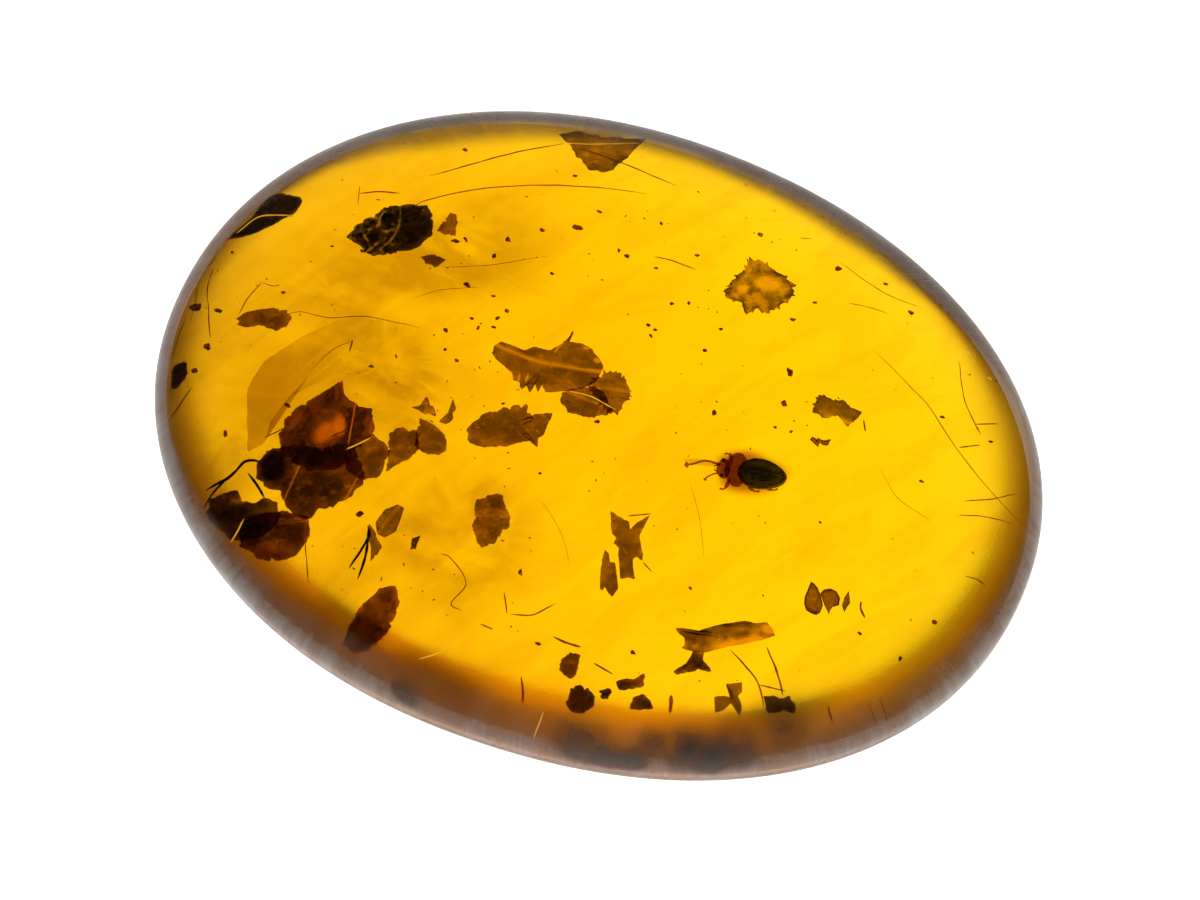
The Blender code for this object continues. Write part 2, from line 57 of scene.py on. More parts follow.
# The view. A picture place is a pixel of it, counted from the top left
PICTURE = (1200, 900)
VIEW_AZIMUTH, VIEW_ELEVATION = math.radians(23.6), math.radians(62.0)
VIEW_DISTANCE = 146.8
VIEW_TARGET = np.array((0.486, -0.687, 4.75))
LENS, SENSOR = 100.0, 36.0

# Going round the rim as the view shows it, in degrees from its right-hand end: how far in the band of
# wear and painted shade runs as a share of the radius, how dark the resin is painted there (painted shade),
# how hazy its skin is, how pale that haze is (painted sheen where pale, painted shade where brown), and
# how coarsely the underside is ground
RIM_SIDES = (
    (5, 0.035, 0.05, 0.70, 0.70, 1.9), (20, 0.10, 0.75, 0.80, 0.15, 1.2),
    (30, 0.16, 0.92, 0.85, 0.10, 1.0), (45, 0.185, 0.95, 0.90, 0.10, 1.0),
    (75, 0.175, 0.92, 0.85, 0.15, 1.0), (105, 0.20, 0.90, 0.80, 0.20, 1.0),
    (120, 0.205, 0.88, 0.80, 0.25, 1.0), (135, 0.12, 0.80, 0.75, 0.35, 1.2),
    (150, 0.07, 0.60, 0.70, 0.40, 1.8), (162, 0.045, 0.05, 0.75, 0.75, 1.9),
    (180, 0.04, 0.00, 0.75, 0.75, 2.0), (195, 0.06, 0.00, 0.70, 0.65, 1.9),
    (215, 0.09, 0.25, 0.60, 0.35, 1.8), (240, 0.11, 0.05, 0.50, 0.30, 2.0),
    (275, 0.11, 0.00, 0.45, 0.25, 2.0), (300, 0.10, 0.00, 0.50, 0.40, 2.0),
    (320, 0.08, 0.05, 0.60, 0.50, 2.2), (340, 0.05, 0.05, 0.60, 0.60, 1.8),
)


# ---------------------------------------------------------------- the stone's formulas

def plan_radius(angle):
    """Superellipse radius, made fuller at one end by a cosine and at one side by a sine."""
    long_part = (np.abs(np.cos(angle)) / (LENGTH / 2)) ** OUTLINE_POWER
    wide_part = (np.abs(np.sin(angle)) / (WIDTH / 2)) ** OUTLINE_POWER
    radius = (long_part + wide_part) ** (-1 / OUTLINE_POWER)
    return radius * (1 + BLUNT_END * np.cos(angle) + FULL_SIDE * np.sin(angle))


def plan_middle():
    """Middle of the outline's box, which the frame puts at the origin."""
    angle = np.linspace(0, math.tau, 48, endpoint=False)
    x, y = plan_radius(angle) * np.cos(angle), plan_radius(angle) * np.sin(angle)
    return np.array(((x.max() + x.min()) / 2, (y.max() + y.min()) / 2))


MIDDLE = plan_middle()
# The angles at which every ring of the stone has its points
TURNS = np.linspace(0, math.tau, AROUND, endpoint=False)


def rim_share(x, y):
    """Distance from the outline's centre as a share of the distance to its edge there."""
    px, py = x + MIDDLE[0], y + MIDDLE[1]
    return np.minimum(np.hypot(px, py) / plan_radius(np.arctan2(py, px)), 1.0)


def dome_height(x, y):
    """Upper surface: from the girdle up by the root of one less the share to a power."""
    return GIRDLE + (HEIGHT - GIRDLE) * np.sqrt(1 - rim_share(x, y) ** DOME_POWER)


def layer_height(x, y):
    """A sine along the stone times a cosine across it, fading to the girdle's height at the rim."""
    wave = WAVE * np.sin(x / WAVE_LONG + WAVE_START) * np.cos(y / WAVE_ACROSS + WAVE_SIDE) - LAYER_DROP
    return GIRDLE + (1 - rim_share(x, y) ** 2) * wave


def rim_side():
    """The rim's reach, painted shade, haze, painted sheen and grinding all round, run between the given
    sides.
    """
    sides = np.array(RIM_SIDES)
    way = np.degrees(TURNS - LAYER_TURN) % 360
    return [np.interp(way, sides[:, 0], sides[:, k], period=360) for k in range(1, 6)]


def eased(value):
    """0 below 0, 1 above 1, and a smooth step between."""
    value = np.clip(value, 0, 1)
    return value * value * (3 - 2 * value)


def stone_rings(share, sweep, lift=0.0):
    """Rings of points on the stone, moved out by the lift.

    The first rings are the outline shrunk to each share, at the dome's height there. The rest run under
    the edge along a quarter ellipse, by the sine and cosine of each sweep, to the flat base.
    """
    radius = plan_radius(TURNS)
    way = np.stack((np.cos(TURNS), np.sin(TURNS)), 1)
    dome = GIRDLE + (HEIGHT - GIRDLE) * np.sqrt(np.clip(1 - share**DOME_POWER, 0, 1)) + 0 * radius
    foot = GIRDLE * (1 - np.sin(sweep)) + 0 * radius
    reach = np.concatenate((share * radius, radius - FOOT * (1 - np.cos(sweep)))) * (1 + lift / radius)
    return np.concatenate((reach[..., None] * way - MIDDLE, np.concatenate((dome, foot))[..., None]), -1)


# ---------------------------------------------------------------- sight lines into the stone

VIEW_BACK = np.array((math.sin(VIEW_AZIMUTH) * math.cos(VIEW_ELEVATION),
                      -math.cos(VIEW_AZIMUTH) * math.cos(VIEW_ELEVATION), math.sin(VIEW_ELEVATION)))
VIEW_RIGHT = np.array((math.cos(VIEW_AZIMUTH), math.sin(VIEW_AZIMUTH), 0.0))
VIEW_UP = np.cross(VIEW_BACK, VIEW_RIGHT)
# How often a sight line is moved on towards a height, and by what share of the gap that is left
DOME_TRIES, DOME_STRIDE = 60, 0.6
LAYER_TRIES, LAYER_STRIDE = 40, 0.7
SLOPE_STEP = 0.05


def sight_lines(places):
    """The way each sight line goes, from the picture places by the lens, and where it meets the dome."""
    places = np.asarray(places, float)
    per_pixel = SENSOR / LENS / PICTURE[0]
    ray = (-VIEW_BACK + VIEW_RIGHT * ((places[:, :1] - PICTURE[0] / 2) * per_pixel)
           - VIEW_UP * ((places[:, 1:] - PICTURE[1] / 2) * per_pixel))
    ray /= np.linalg.norm(ray, axis=1, keepdims=True)
    eye = VIEW_TARGET + VIEW_BACK * VIEW_DISTANCE
    reach = (eye[2] - HEIGHT) / -ray[:, 2]
    for _ in range(DOME_TRIES):
        hit = eye + ray * reach[:, None]
        reach += DOME_STRIDE * (hit[:, 2] - dome_height(hit[:, 0], hit[:, 1]))
    return ray, hit


def on_dome(places):
    """Points of the stone's upper surface that the view shows at the given picture places."""
    return sight_lines(places)[1]


def inside(places, lift=0.0):
    """Points in the stone that the view shows at the given picture places, lift above the layer.

    Each sight line goes to the dome, bends there by the law of sines, and runs on down to the height.
    """
    ray, hit = sight_lines(places)
    x, y, step = hit[:, 0], hit[:, 1], SLOPE_STEP
    slope_x = (dome_height(x + step, y) - dome_height(x - step, y)) / (2 * step)
    slope_y = (dome_height(x, y + step) - dome_height(x, y - step)) / (2 * step)
    normal = np.stack((-slope_x, -slope_y, np.ones_like(x)), 1)
    normal /= np.linalg.norm(normal, axis=1, keepdims=True)
    facing = -(ray * normal).sum(1, keepdims=True)
    inner = np.sqrt(1 - (1 - facing**2) / AMBER_IOR**2)
    bent = ray / AMBER_IOR + (facing / AMBER_IOR - inner) * normal
    along = np.zeros(len(hit))
    for _ in range(LAYER_TRIES):
        spot = hit + bent * along[:, None]
        wanted = layer_height(spot[:, 0], spot[:, 1]) + lift
        along = np.maximum(along + LAYER_STRIDE * (spot[:, 2] - wanted), 0)
    return hit + bent * along[:, None]


# ---------------------------------------------------------------- meshes

def ring_faces(rings, around):
    """Quads between rings of points, each ring closed on itself."""
    row, col = np.meshgrid(np.arange(rings - 1), np.arange(around), indexing="ij")
    here, beside = row * around + col, row * around + (col + 1) % around
    return np.stack((here, beside, beside + around, here + around), -1).reshape(-1, 4).tolist()


def closed_rings(rings, first, last):
    """A closed surface: rings of points in order, with a fan to a pole at each end."""
    count, around = rings.shape[:2]
    points = np.concatenate((rings.reshape(-1, 3), [first, last]))
    near, far, base = count * around, count * around + 1, (count - 1) * around
    fans = []
    for i in range(around):
        j = (i + 1) % around
        fans.append((near, j, i))
        fans.append((far, base + i, base + j))
    return outward(points, ring_faces(count, around) + fans)


def outward(points, faces):
    """The same surface with its faces turned so that it holds a positive volume."""
    corners = np.array([face[:3] for face in faces])
    a, b, c = (points[corners[:, k]] - points.mean(0) for k in range(3))
    if (a * np.cross(b, c)).sum() < 0:
        faces = [face[::-1] for face in faces]
    return points, faces


def turned(points, angle):
    """The points turned about the vertical."""
    c, s = math.cos(angle), math.sin(angle)
    return points @ np.array(((c, s, 0), (-s, c, 0), (0, 0, 1)))


def joined(surfaces):
    """Several surfaces as one list of points and one of faces."""
    points, faces, start = [], [], 0
    for some, ring in surfaces:
        points.append(some)
        faces += [[start + i for i in face] for face in ring]
        start += len(some)
    return np.concatenate(points), faces


def make_piece(name, surface, material, shares=None):
    """A piece at the origin, riding on the stone's one body, with its points' shares as attributes."""
    points, faces = surface
    mesh = bpy.data.meshes.new(name)
    mesh.from_pydata((points * MM).tolist(), [], faces)
    mesh.materials.append(material)
    for key, values in (shares or {}).items():
        kind, field = ("FLOAT_VECTOR", "vector") if np.ndim(values) == 2 else ("FLOAT", "value")
        mesh.attributes.new(key, kind, "POINT").data.foreach_set(field, np.ravel(values).astype(np.float32))
    mesh.shade_smooth()
    mesh.validate()
    piece = bpy.data.objects.new(name, mesh)
    bpy.context.scene.collection.objects.link(piece)
    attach(piece, "root")
    return piece


def ripple(places, rng, size, octaves=4):
    """Smooth noise from -1 to 1: a sum of sine waves in random directions, each octave half as strong."""
    total = np.zeros(len(places))
    for octave in range(octaves):
        for _ in range(3):
            way = rng.normal(size=places.shape[1])
            way *= math.tau * 2**octave / size / np.linalg.norm(way)
            total += np.sin(places @ way + rng.uniform(0, math.tau)) / 2**octave / 3
    return total


def tube(path, radii, sides=6):
    """A round rod: a circle of the given radius carried along a path, square to it, with pointed ends."""
    path, radii = np.asarray(path, float), np.asarray(radii, float)
    way = np.gradient(path, axis=0)
    way /= np.linalg.norm(way, axis=1, keepdims=True) + 1e-9
    across = np.cross(way, (0.31, 0.17, 0.93))
    across /= np.linalg.norm(across, axis=1, keepdims=True) + 1e-9
    up = np.cross(way, across)
    turn = np.linspace(0, math.tau, sides, endpoint=False)
    rings = (path[:, None] + radii[:, None, None]
             * (np.cos(turn)[None, :, None] * across[:, None] + np.sin(turn)[None, :, None] * up[:, None]))
    return closed_rings(rings, path[0] - way[0] * radii[0], path[-1] + way[-1] * radii[-1])


def smooth_path(points, count):
    """A curve through the points by Catmull-Rom cubics, read off at even steps of its parameter."""
    points = np.asarray(points, float)
    padded = np.concatenate((2 * points[:1] - points[1:2], points, 2 * points[-1:] - points[-2:-1]))
    spot = np.linspace(0, len(points) - 1 - 1e-6, count)
    k = spot.astype(int)
    t = (spot - k)[:, None]
    a, b, c, d = (padded[k + i] for i in range(4))
    return b + 0.5 * t * (c - a + t * (2 * a - 5 * b + 4 * c - d + t * (3 * (b - c) + d - a)))


def bead(centre, half, rows, cols, shape=None):
    """An ellipsoid; shape, if given, changes the half sizes by the share along the first axis."""
    down = np.linspace(0, math.pi, rows + 2)[1:-1, None]
    turn = np.linspace(0, math.tau, cols, endpoint=False)[None, :]
    unit = np.stack((-np.cos(down) + 0 * turn, np.sin(down) * np.cos(turn), np.sin(down) * np.sin(turn)), -1)
    if shape is not None:
        unit[..., 1:] *= shape(unit[..., 0])[..., None]
    centre, half = np.array(centre, float), np.array(half, float)
    return closed_rings(centre + unit * half, centre - (half[0], 0, 0), centre + (half[0], 0, 0))


# ---------------------------------------------------------------- materials

def blank(name):
    """A new material, its node tree, a function that adds a node, and one that links two sockets."""
    material = bpy.data.materials.new(name)
    material.use_nodes = True
    tree = material.node_tree

    def node(kind, **settings):
        new = tree.nodes.new(kind)
        for key, value in settings.items():
            setattr(new, key, value)
        return new

    return material, tree.nodes["Principled BSDF"], tree.nodes["Material Output"], node, tree.links.new


def feed(link, value, socket):
    """Link the value where it is a socket too, and otherwise set it: a colour, fully opaque, or a number."""
    if isinstance(value, tuple):
        socket.default_value = (*value, 1.0)
    elif isinstance(value, (int, float)):
        socket.default_value = value
    else:
        link(value, socket)


def dress(shader, colour=None, rough=0.5, shine=0.5):
    """Set the surface's colour, unless it is linked elsewhere, its roughness and how strongly it shines."""
    if colour:
        shader.inputs["Base Color"].default_value = (*colour, 1.0)
    shader.inputs["Roughness"].default_value = rough
    shader.inputs["Specular IOR Level"].default_value = shine


def attribute(node, name, kind="Fac"):
    """What each point of the mesh holds under this name."""
    return node("ShaderNodeAttribute", attribute_name=name).outputs[kind]


def object_place(node):
    """The place in the piece's own axes, in metres."""
    return node("ShaderNodeTexCoord").outputs["Object"]


def ramp(node, link, source, stops):
    """A colour ramp over the source, from (place, colour) stops."""
    new = node("ShaderNodeValToRGB")
    band = new.color_ramp
    while len(band.elements) < len(stops):
        band.elements.new(1.0)
    for element, (place, colour) in zip(band.elements, stops):
        element.position = place
        element.color = (*colour, 1.0)
    link(source, new.inputs["Fac"])
    return new.outputs["Color"]


def blended(node, link, share, first, second):
    """The first colour where the share is 0, the second where it is 1."""
    mix = node("ShaderNodeMix", data_type="RGBA")
    for socket, value in zip((mix.inputs[0], mix.inputs[6], mix.inputs[7]), (share, first, second)):
        feed(link, value, socket)
    return mix.outputs[2]


def maths(node, link, operation, a, b=0.0, clamp=False):
    """One sum on a and b, each a number or a socket, held between 0 and 1 if clamp is set."""
    new = node("ShaderNodeMath", operation=operation, use_clamp=clamp)
    feed(link, a, new.inputs[0])
    feed(link, b, new.inputs[1])
    return new.outputs[0]


def times(node, link, a, b, clamp=False):
    """The product of a and b."""
    return maths(node, link, "MULTIPLY", a, b, clamp)


def less(node, link, share, part):
    """The share with this part of it taken away: the share times one less the part."""
    return times(node, link, share, maths(node, link, "SUBTRACT", 1.0, part))


def spread(node, link, source, low, high, to_low=0.0, to_high=1.0):
    """A smooth step from to_low, where the source is at low, to to_high, where it is at high."""
    new = node("ShaderNodeMapRange", interpolation_type="SMOOTHSTEP")
    link(source, new.inputs["Value"])
    for key, value in (("From Min", low), ("From Max", high), ("To Min", to_low), ("To Max", to_high)):
        new.inputs[key].default_value = value
    return new.outputs["Result"]


def noise(node, link, source, size, detail=5.0, rough=0.6, swirl=0.0, unit=MM):
    """Noise whose blobs are about size units of the source across, curled by the swirl."""
    new = node("ShaderNodeTexNoise")
    new.inputs["Scale"].default_value = 1 / (size * unit)
    new.inputs["Detail"].default_value = detail
    new.inputs["Roughness"].default_value = rough
    new.inputs["Distortion"].default_value = swirl
    link(source, new.inputs["Vector"])
    return new.outputs["Fac"]


def laid(node, link, source, turn, size=(1.0, 1.0), at=(0.0, 0.0)):
    """The source's place measured from the point at, along axes with this turn, in units of the size."""
    new = node("ShaderNodeMapping", vector_type="TEXTURE")
    new.inputs["Location"].default_value = (*at, 0)
    new.inputs["Rotation"].default_value = (0, 0, turn)
    new.inputs["Scale"].default_value = (*size, 1)
    link(source, new.inputs["Vector"])
    return new.outputs[0]


def parted(node, link, source):
    """The first and second parts of a place."""
    new = node("ShaderNodeSeparateXYZ")
    link(source, new.inputs[0])
    return new.outputs[0], new.outputs[1]


def see_through(node, link, shader, output, opaque, tint=(1.0, 1.0, 1.0)):
    """Meet the surface for the opaque share of the light, and let the rest by, coloured by the tint."""
    clear = node("ShaderNodeBsdfTransparent")
    mix = node("ShaderNodeMixShader")
    feed(link, tint, clear.inputs["Color"])
    feed(link, opaque, mix.inputs[0])
    link(clear.outputs[0], mix.inputs[1])
    link(shader.outputs[0], mix.inputs[2])
    link(mix.outputs[0], output.inputs["Surface"])


# The resin: how it bends light, what it passes of red, green and blue, and how densely it absorbs the
# rest. Its tint goes from clear to brown
AMBER_IOR, AMBER_PASSES, AMBER_DENSITY = 1.54, (0.98, 0.94, 0.0), 600.0
AMBER_TINTS = ((0.0, (1.0, 0.71, 0.25)), (0.6, (0.88, 0.51, 0.16)), (1.0, (0.66, 0.36, 0.10)))
# The brown that the rim's band is darkened to: painted shade in the resin's colour
RIM_PAINTED_SHADE = (0.20, 0.10, 0.05)
FOOT_ROUGHNESS = 0.26
# Where along the stone, in mm, the brown is full and where it ends, and how far clouds push that about
BROWN_FULL, BROWN_GONE, BROWN_PUSH = -5.0, 21.0, 22.0
WISP_TURN, WISP_STRETCH = LAYER_TURN + math.radians(35), 3.5


def amber_material():
    """Clear yellow resin: plain transmission, with blue and some green absorbed on the way through.

    The blunt end is a little browner in drifting clouds, faint wisps run across, and the underside is
    finely ground.
    """
    material, shader, output, node, link = blank("amber")
    place = object_place(node)
    along = parted(node, link, laid(node, link, place, LAYER_TURN, (MM, MM)))[0]
    cloud = noise(node, link, place, 7.0, 2.0, 0.55)
    pushed = maths(node, link, "ADD", along, times(node, link, cloud, BROWN_PUSH))
    brown = spread(node, link, pushed, BROWN_FULL, BROWN_GONE, 1.0, 0.0)
    wisps = noise(node, link, laid(node, link, place, WISP_TURN, (WISP_STRETCH, 1)), 2.2, 3.0, 0.6, 0.7)
    veil = times(node, link, brown, spread(node, link, cloud, 0.40, 0.62, 0.5, 0.75))
    veil = maths(node, link, "ADD", veil, spread(node, link, wisps, 0.44, 0.66, 0.0, 0.30), clamp=True)
    tint = ramp(node, link, veil, AMBER_TINTS)
    # Painted shade: the resin's colour goes to brown in the rim's band, most on the far side
    link(blended(node, link, attribute(node, "rim"), tint, RIM_PAINTED_SHADE), shader.inputs["Base Color"])
    shader.inputs["Transmission Weight"].default_value = 1.0
    shader.inputs["IOR"].default_value = AMBER_IOR
    link(times(node, link, attribute(node, "ground"), FOOT_ROUGHNESS), shader.inputs["Roughness"])
    body = node("ShaderNodeVolumeAbsorption")
    body.inputs["Color"].default_value = (*AMBER_PASSES, 1)
    body.inputs["Density"].default_value = AMBER_DENSITY
    link(body.outputs[0], output.inputs["Volume"])
    return material


# The haze's tones: painted shade at the brown end, painted sheen at the pale end
HAZE_SHADES = ((0.0, (0.54, 0.28, 0.11)), (0.5, (0.78, 0.54, 0.36)), (1.0, (0.96, 0.90, 0.84)))
SMUDGE_GREY, SMUDGE_STRENGTH = (0.13, 0.11, 0.09), 0.75


def frost_and_painted_light_material():
    """Fine wear round the rim: a haze, streaked across the edge, thickest where the attribute is 1, its tone
    a painted sheen where pale and a painted shade where brown.
    """
    material, shader, output, node, link = blank("rim_wear_and_painted_light")
    streak = noise(node, link, attribute(node, "round", "Vector"), 1.0, 3.0, 0.7, unit=1.0)
    cloud = noise(node, link, object_place(node), 3.0, 2.0)
    shade = spread(node, link, streak, 0.3, 0.7, -0.18, 0.18)
    # Painted sheen and shade: the haze's tone, paler by side and along the girdle line
    shade = maths(node, link, "ADD", attribute(node, "pale"), shade, clamp=True)
    haze = ramp(node, link, shade, HAZE_SHADES)
    smudge = times(node, link, attribute(node, "grime"), spread(node, link, cloud, 0.35, 0.6, 0.5, 1.0))
    colour = blended(node, link, spread(node, link, smudge, 0.0, 0.5), haze, SMUDGE_GREY)
    link(colour, shader.inputs["Base Color"])
    dress(shader, rough=0.55)
    thick = times(node, link, attribute(node, "wear"), spread(node, link, cloud, 0.3, 0.7, 0.7, 1.0))
    thick = maths(node, link, "ADD", thick, times(node, link, smudge, SMUDGE_STRENGTH), clamp=True)
    thick = times(node, link, thick, spread(node, link, streak, 0.3, 0.7, 0.75, 1.0), clamp=True)
    see_through(node, link, shader, output, thick)
    return material


def rib(node, link, turn, offset, bow, width):
    """0.25 on a bowed line drawn across the piece's own plan, 1 away from it.

    The distance is taken square to the line, less the bow times the square of the way along it.
    """
    along, off = parted(node, link, laid(node, link, attribute(node, "plan", "Vector"), turn))
    bowed = times(node, link, times(node, link, along, along), bow)
    gap = maths(node, link, "SUBTRACT", maths(node, link, "SUBTRACT", off, bowed), offset)
    return spread(node, link, maths(node, link, "ABSOLUTE", gap), width * 0.4, width, 0.25, 1.0)


def patch(node, link, at, half, turn):
    """1 in a soft ellipse of the piece's own plan, 0 outside it."""
    far = node("ShaderNodeVectorMath", operation="LENGTH")
    link(laid(node, link, attribute(node, "plan", "Vector"), turn, half, at), far.inputs[0])
    return spread(node, link, far.outputs["Value"], 0.4, 1.0, 1.0, 0.0)


def fibres(node, link, turn, size=0.25, stretch=5.0):
    """Noise drawn out along one way of the piece's own plan."""
    drawn = laid(node, link, attribute(node, "plan", "Vector"), turn, (stretch, 1))
    return noise(node, link, drawn, size, 4.0, 0.6, unit=1.0)


# How a kind of scrap looks: its colour where it is thick, what its film lets through, how opaque one
# face is where thin and where thick, how much darker its border is, and the size of its clouds in mm
Look = namedtuple("Look", "colour tint least most border cloud")
WINDOW_STRENGTH, SHADE_STRENGTH = 0.8, 0.35
CRACK_CELL, CRACK_STRENGTH = 0.75, 0.95


def scrap_material(name, look, grain_turn=0.0, ribs=(), windows=(), shades=(), cracked=None):
    """Bark or leaf as a film: clouded and fibrous, paler along ribs and in windows, crisp at its border.

    Each rib is a turn, an offset, a bow and a width. Each window or shade is a place, half sizes and a
    turn, and the piece is thin in a window and thick in a shade.
    cracked is a patch in which a web of cracks lets the light through.
    """
    material, shader, output, node, link = blank(name)
    place = object_place(node)
    cloud = noise(node, link, place, look.cloud, 3.0, 0.5)
    grain = fibres(node, link, grain_turn)
    dark = tuple(c * 0.6 for c in look.colour)
    link(ramp(node, link, grain, ((0.35, dark), (0.65, look.colour))), shader.inputs["Base Color"])
    dress(shader, rough=0.6, shine=0.2)
    bump = node("ShaderNodeBump")
    bump.inputs["Strength"].default_value = 0.6
    bump.inputs["Distance"].default_value = 0.05 * MM
    link(grain, bump.inputs["Height"])
    link(bump.outputs[0], shader.inputs["Normal"])
    mixed = maths(node, link, "ADD", times(node, link, cloud, 0.65), times(node, link, grain, 0.35))
    share = spread(node, link, mixed, 0.40, 0.58, look.least, look.most)
    pinholes = noise(node, link, place, look.cloud * 0.35, 2.0)
    share = less(node, link, share, spread(node, link, pinholes, 0.60, 0.68, 0.0, 0.45))
    border = spread(node, link, attribute(node, "edge"), 0.70, 0.97, 1.0, look.border)
    share = times(node, link, share, border)
    for line in ribs:
        share = times(node, link, share, rib(node, link, *line))
    for window in windows:
        share = less(node, link, share, times(node, link, patch(node, link, *window), WINDOW_STRENGTH))
    if cracked:
        cells = node("ShaderNodeTexVoronoi", feature="DISTANCE_TO_EDGE")
        cells.inputs["Scale"].default_value = 1 / (CRACK_CELL * MM)
        link(place, cells.inputs["Vector"])
        gap = spread(node, link, cells.outputs["Distance"], 0.03, 0.11, CRACK_STRENGTH, 0.0)
        share = less(node, link, share, times(node, link, gap, patch(node, link, *cracked)))
    for shade in shades:
        thicker = times(node, link, patch(node, link, *shade), SHADE_STRENGTH)
        share = maths(node, link, "ADD", share, thicker)
    see_through(node, link, shader, output, times(node, link, share, 1.0, clamp=True), look.tint)
    return material


def root_material():
    """Near-black bark, half as dark again and half as light again in its grain."""
    material, shader, _, node, link = blank("root_black")
    shades = ((0.35, (0.010, 0.005, 0.002)), (0.65, (0.030, 0.015, 0.006)))
    link(ramp(node, link, noise(node, link, object_place(node), 0.2), shades), shader.inputs["Base Color"])
    return material


def hair_material():
    """A thin brown thread that lets some light through."""
    material, shader, output, node, link = blank("hair_brown")
    dress(shader, (0.13, 0.045, 0.007), 0.6)
    see_through(node, link, shader, output, 0.42, (0.80, 0.46, 0.2))
    return material


def painted_glint_material():
    """Painted glint: gold that glows where a healed crack would catch the light."""
    material, shader, _, _, _ = blank("painted_crack_glint")
    dress(shader, (1.0, 0.8, 0.4), 0.25)
    # Painted glow: the gold is emitted, though the crack is no lamp
    shader.inputs["Emission Color"].default_value = (1.0, 0.72, 0.25, 1)
    shader.inputs["Emission Strength"].default_value = 0.75
    material.cycles.emission_sampling = "NONE"
    return material


# ---------------------------------------------------------------- the stone

# How far below the girdle, as a sweep of the quarter ellipse, the rim's painted shade and the grinding reach
DARK_UNDER = math.radians(45)
GROUND_END, GROUND_FADE = math.radians(84), math.radians(60)
BAND_FADE = 0.4  # the share of the band over which it comes in


def make_amber():
    """Rings of the outline: shrunk up the dome by a sine, and run in along a quarter ellipse to the base."""
    share = np.sin(np.linspace(0, math.pi / 2, DOWN_DOME + 1))[1:, None]
    sweep = np.linspace(0, math.pi / 2, DOWN_FOOT)[1:, None]
    surface = closed_rings(stone_rings(share, sweep), (*-MIDDLE, HEIGHT), (*-MIDDLE, 0.0))
    # The rim's painted shade, in the band above the girdle and fading a little way under it
    band, dark, _, _, coarse = rim_side()
    above = dark * eased((share - 1 + band) / (BAND_FADE * band))
    below = dark * (1 - eased(sweep / DARK_UNDER))
    under = np.clip((GROUND_END - sweep) / GROUND_FADE, 0, 1) * coarse
    shares = {"ground": np.concatenate((np.zeros(DOWN_DOME * AROUND), under.ravel(), [0, 0])),
              "rim": np.concatenate((above.ravel(), below.ravel(), [0, 0]))}
    stone = make_piece("amber_stone", surface, amber_material(), shares)
    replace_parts(stone, "amber_upper", "amber_lower")


# The film of wear, painted sheen and painted shade: the shares of the outline it runs between, how far
# out it lies, and how far under it goes
WEAR_START, WEAR_END, WEAR_LIFT, WEAR_UNDER = 0.74, 0.9995, 0.02, math.radians(50)
WEAR_ROWS, WEAR_ROWS_UNDER = 36, 26
# How much of the haze is the broad band and how much the line at the girdle, and how much paler that
# line is painted, as painted sheen
BAND_HAZE, LINE_HAZE, LINE_PALER = 0.65, 0.35, 0.4
STREAKS_ROUND, STREAKS_ACROSS = 16, 0.7
# Dark smudges in the worn band: picture place and size in mm
GRIME = (
    (584, 738, 1.25), (606, 752, 1.0), (630, 757, 0.8), (652, 742, 0.7), (690, 748, 1.15), (712, 757, 1.0),
    (734, 746, 1.2), (782, 722, 1.1), (408, 692, 0.75),
)


def make_rim_wear_and_painted_light():
    """A film just outside the stone, from a little up the dome, over the girdle and under the edge.

    Its points follow the stone's own rings, moved out by a hair's breadth. Wear rises by a smooth step
    where the side's band begins, is thickest at the girdle, and fades again under the edge.
    """
    share = np.sin(np.linspace(math.asin(WEAR_START), math.asin(WEAR_END), WEAR_ROWS))[:, None]
    sweep = np.linspace(0, WEAR_UNDER, WEAR_ROWS_UNDER)[:, None]
    rings = stone_rings(share, sweep, WEAR_LIFT)
    band, _, haze, pale, _ = rim_side()
    broad = eased((share - 1 + band) / (BAND_FADE * band))
    upper = haze * (BAND_HAZE * broad + LINE_HAZE * eased((share - 0.96) / 0.04))
    lower = haze * (1 - sweep / sweep[-1]) ** 1.8
    wear = np.concatenate((upper, lower))
    # Painted sheen: the haze paler by side and along the girdle line, fading under the edge
    paler = np.concatenate((pale + LINE_PALER * eased((share - 0.95) / 0.05),
                            pale + LINE_PALER - LINE_PALER * eased(sweep)))
    across = np.linspace(0, 1, len(rings))[:, None] * np.ones(AROUND)
    streaks = np.stack((np.cos(TURNS) * STREAKS_ROUND + 0 * across,
                        np.sin(TURNS) * STREAKS_ROUND + 0 * across, across * STREAKS_ACROSS), -1)
    points = rings.reshape(-1, 3)
    grime = np.zeros(len(points))
    for spot, (_, _, size) in zip(on_dome([place[:2] for place in GRIME]), GRIME):
        grime = np.maximum(grime, np.exp(-((np.linalg.norm(points - spot, axis=1) / size) ** 2)))
    shares = {"wear": wear.ravel(), "pale": paler.ravel(), "round": streaks.reshape(-1, 3), "grime": grime}
    surface = points, ring_faces(len(rings), AROUND)
    make_piece("rim_wear_and_painted_light", surface, frost_and_painted_light_material(), shares)


# ---------------------------------------------------------------- scraps

# How much of a face's normal is upwards, in a face that looks up, one square to that, and one of the rim
LOOKS_UP, SQUARE_UP, SIDEWAYS = 0.8, 0.9, 0.5


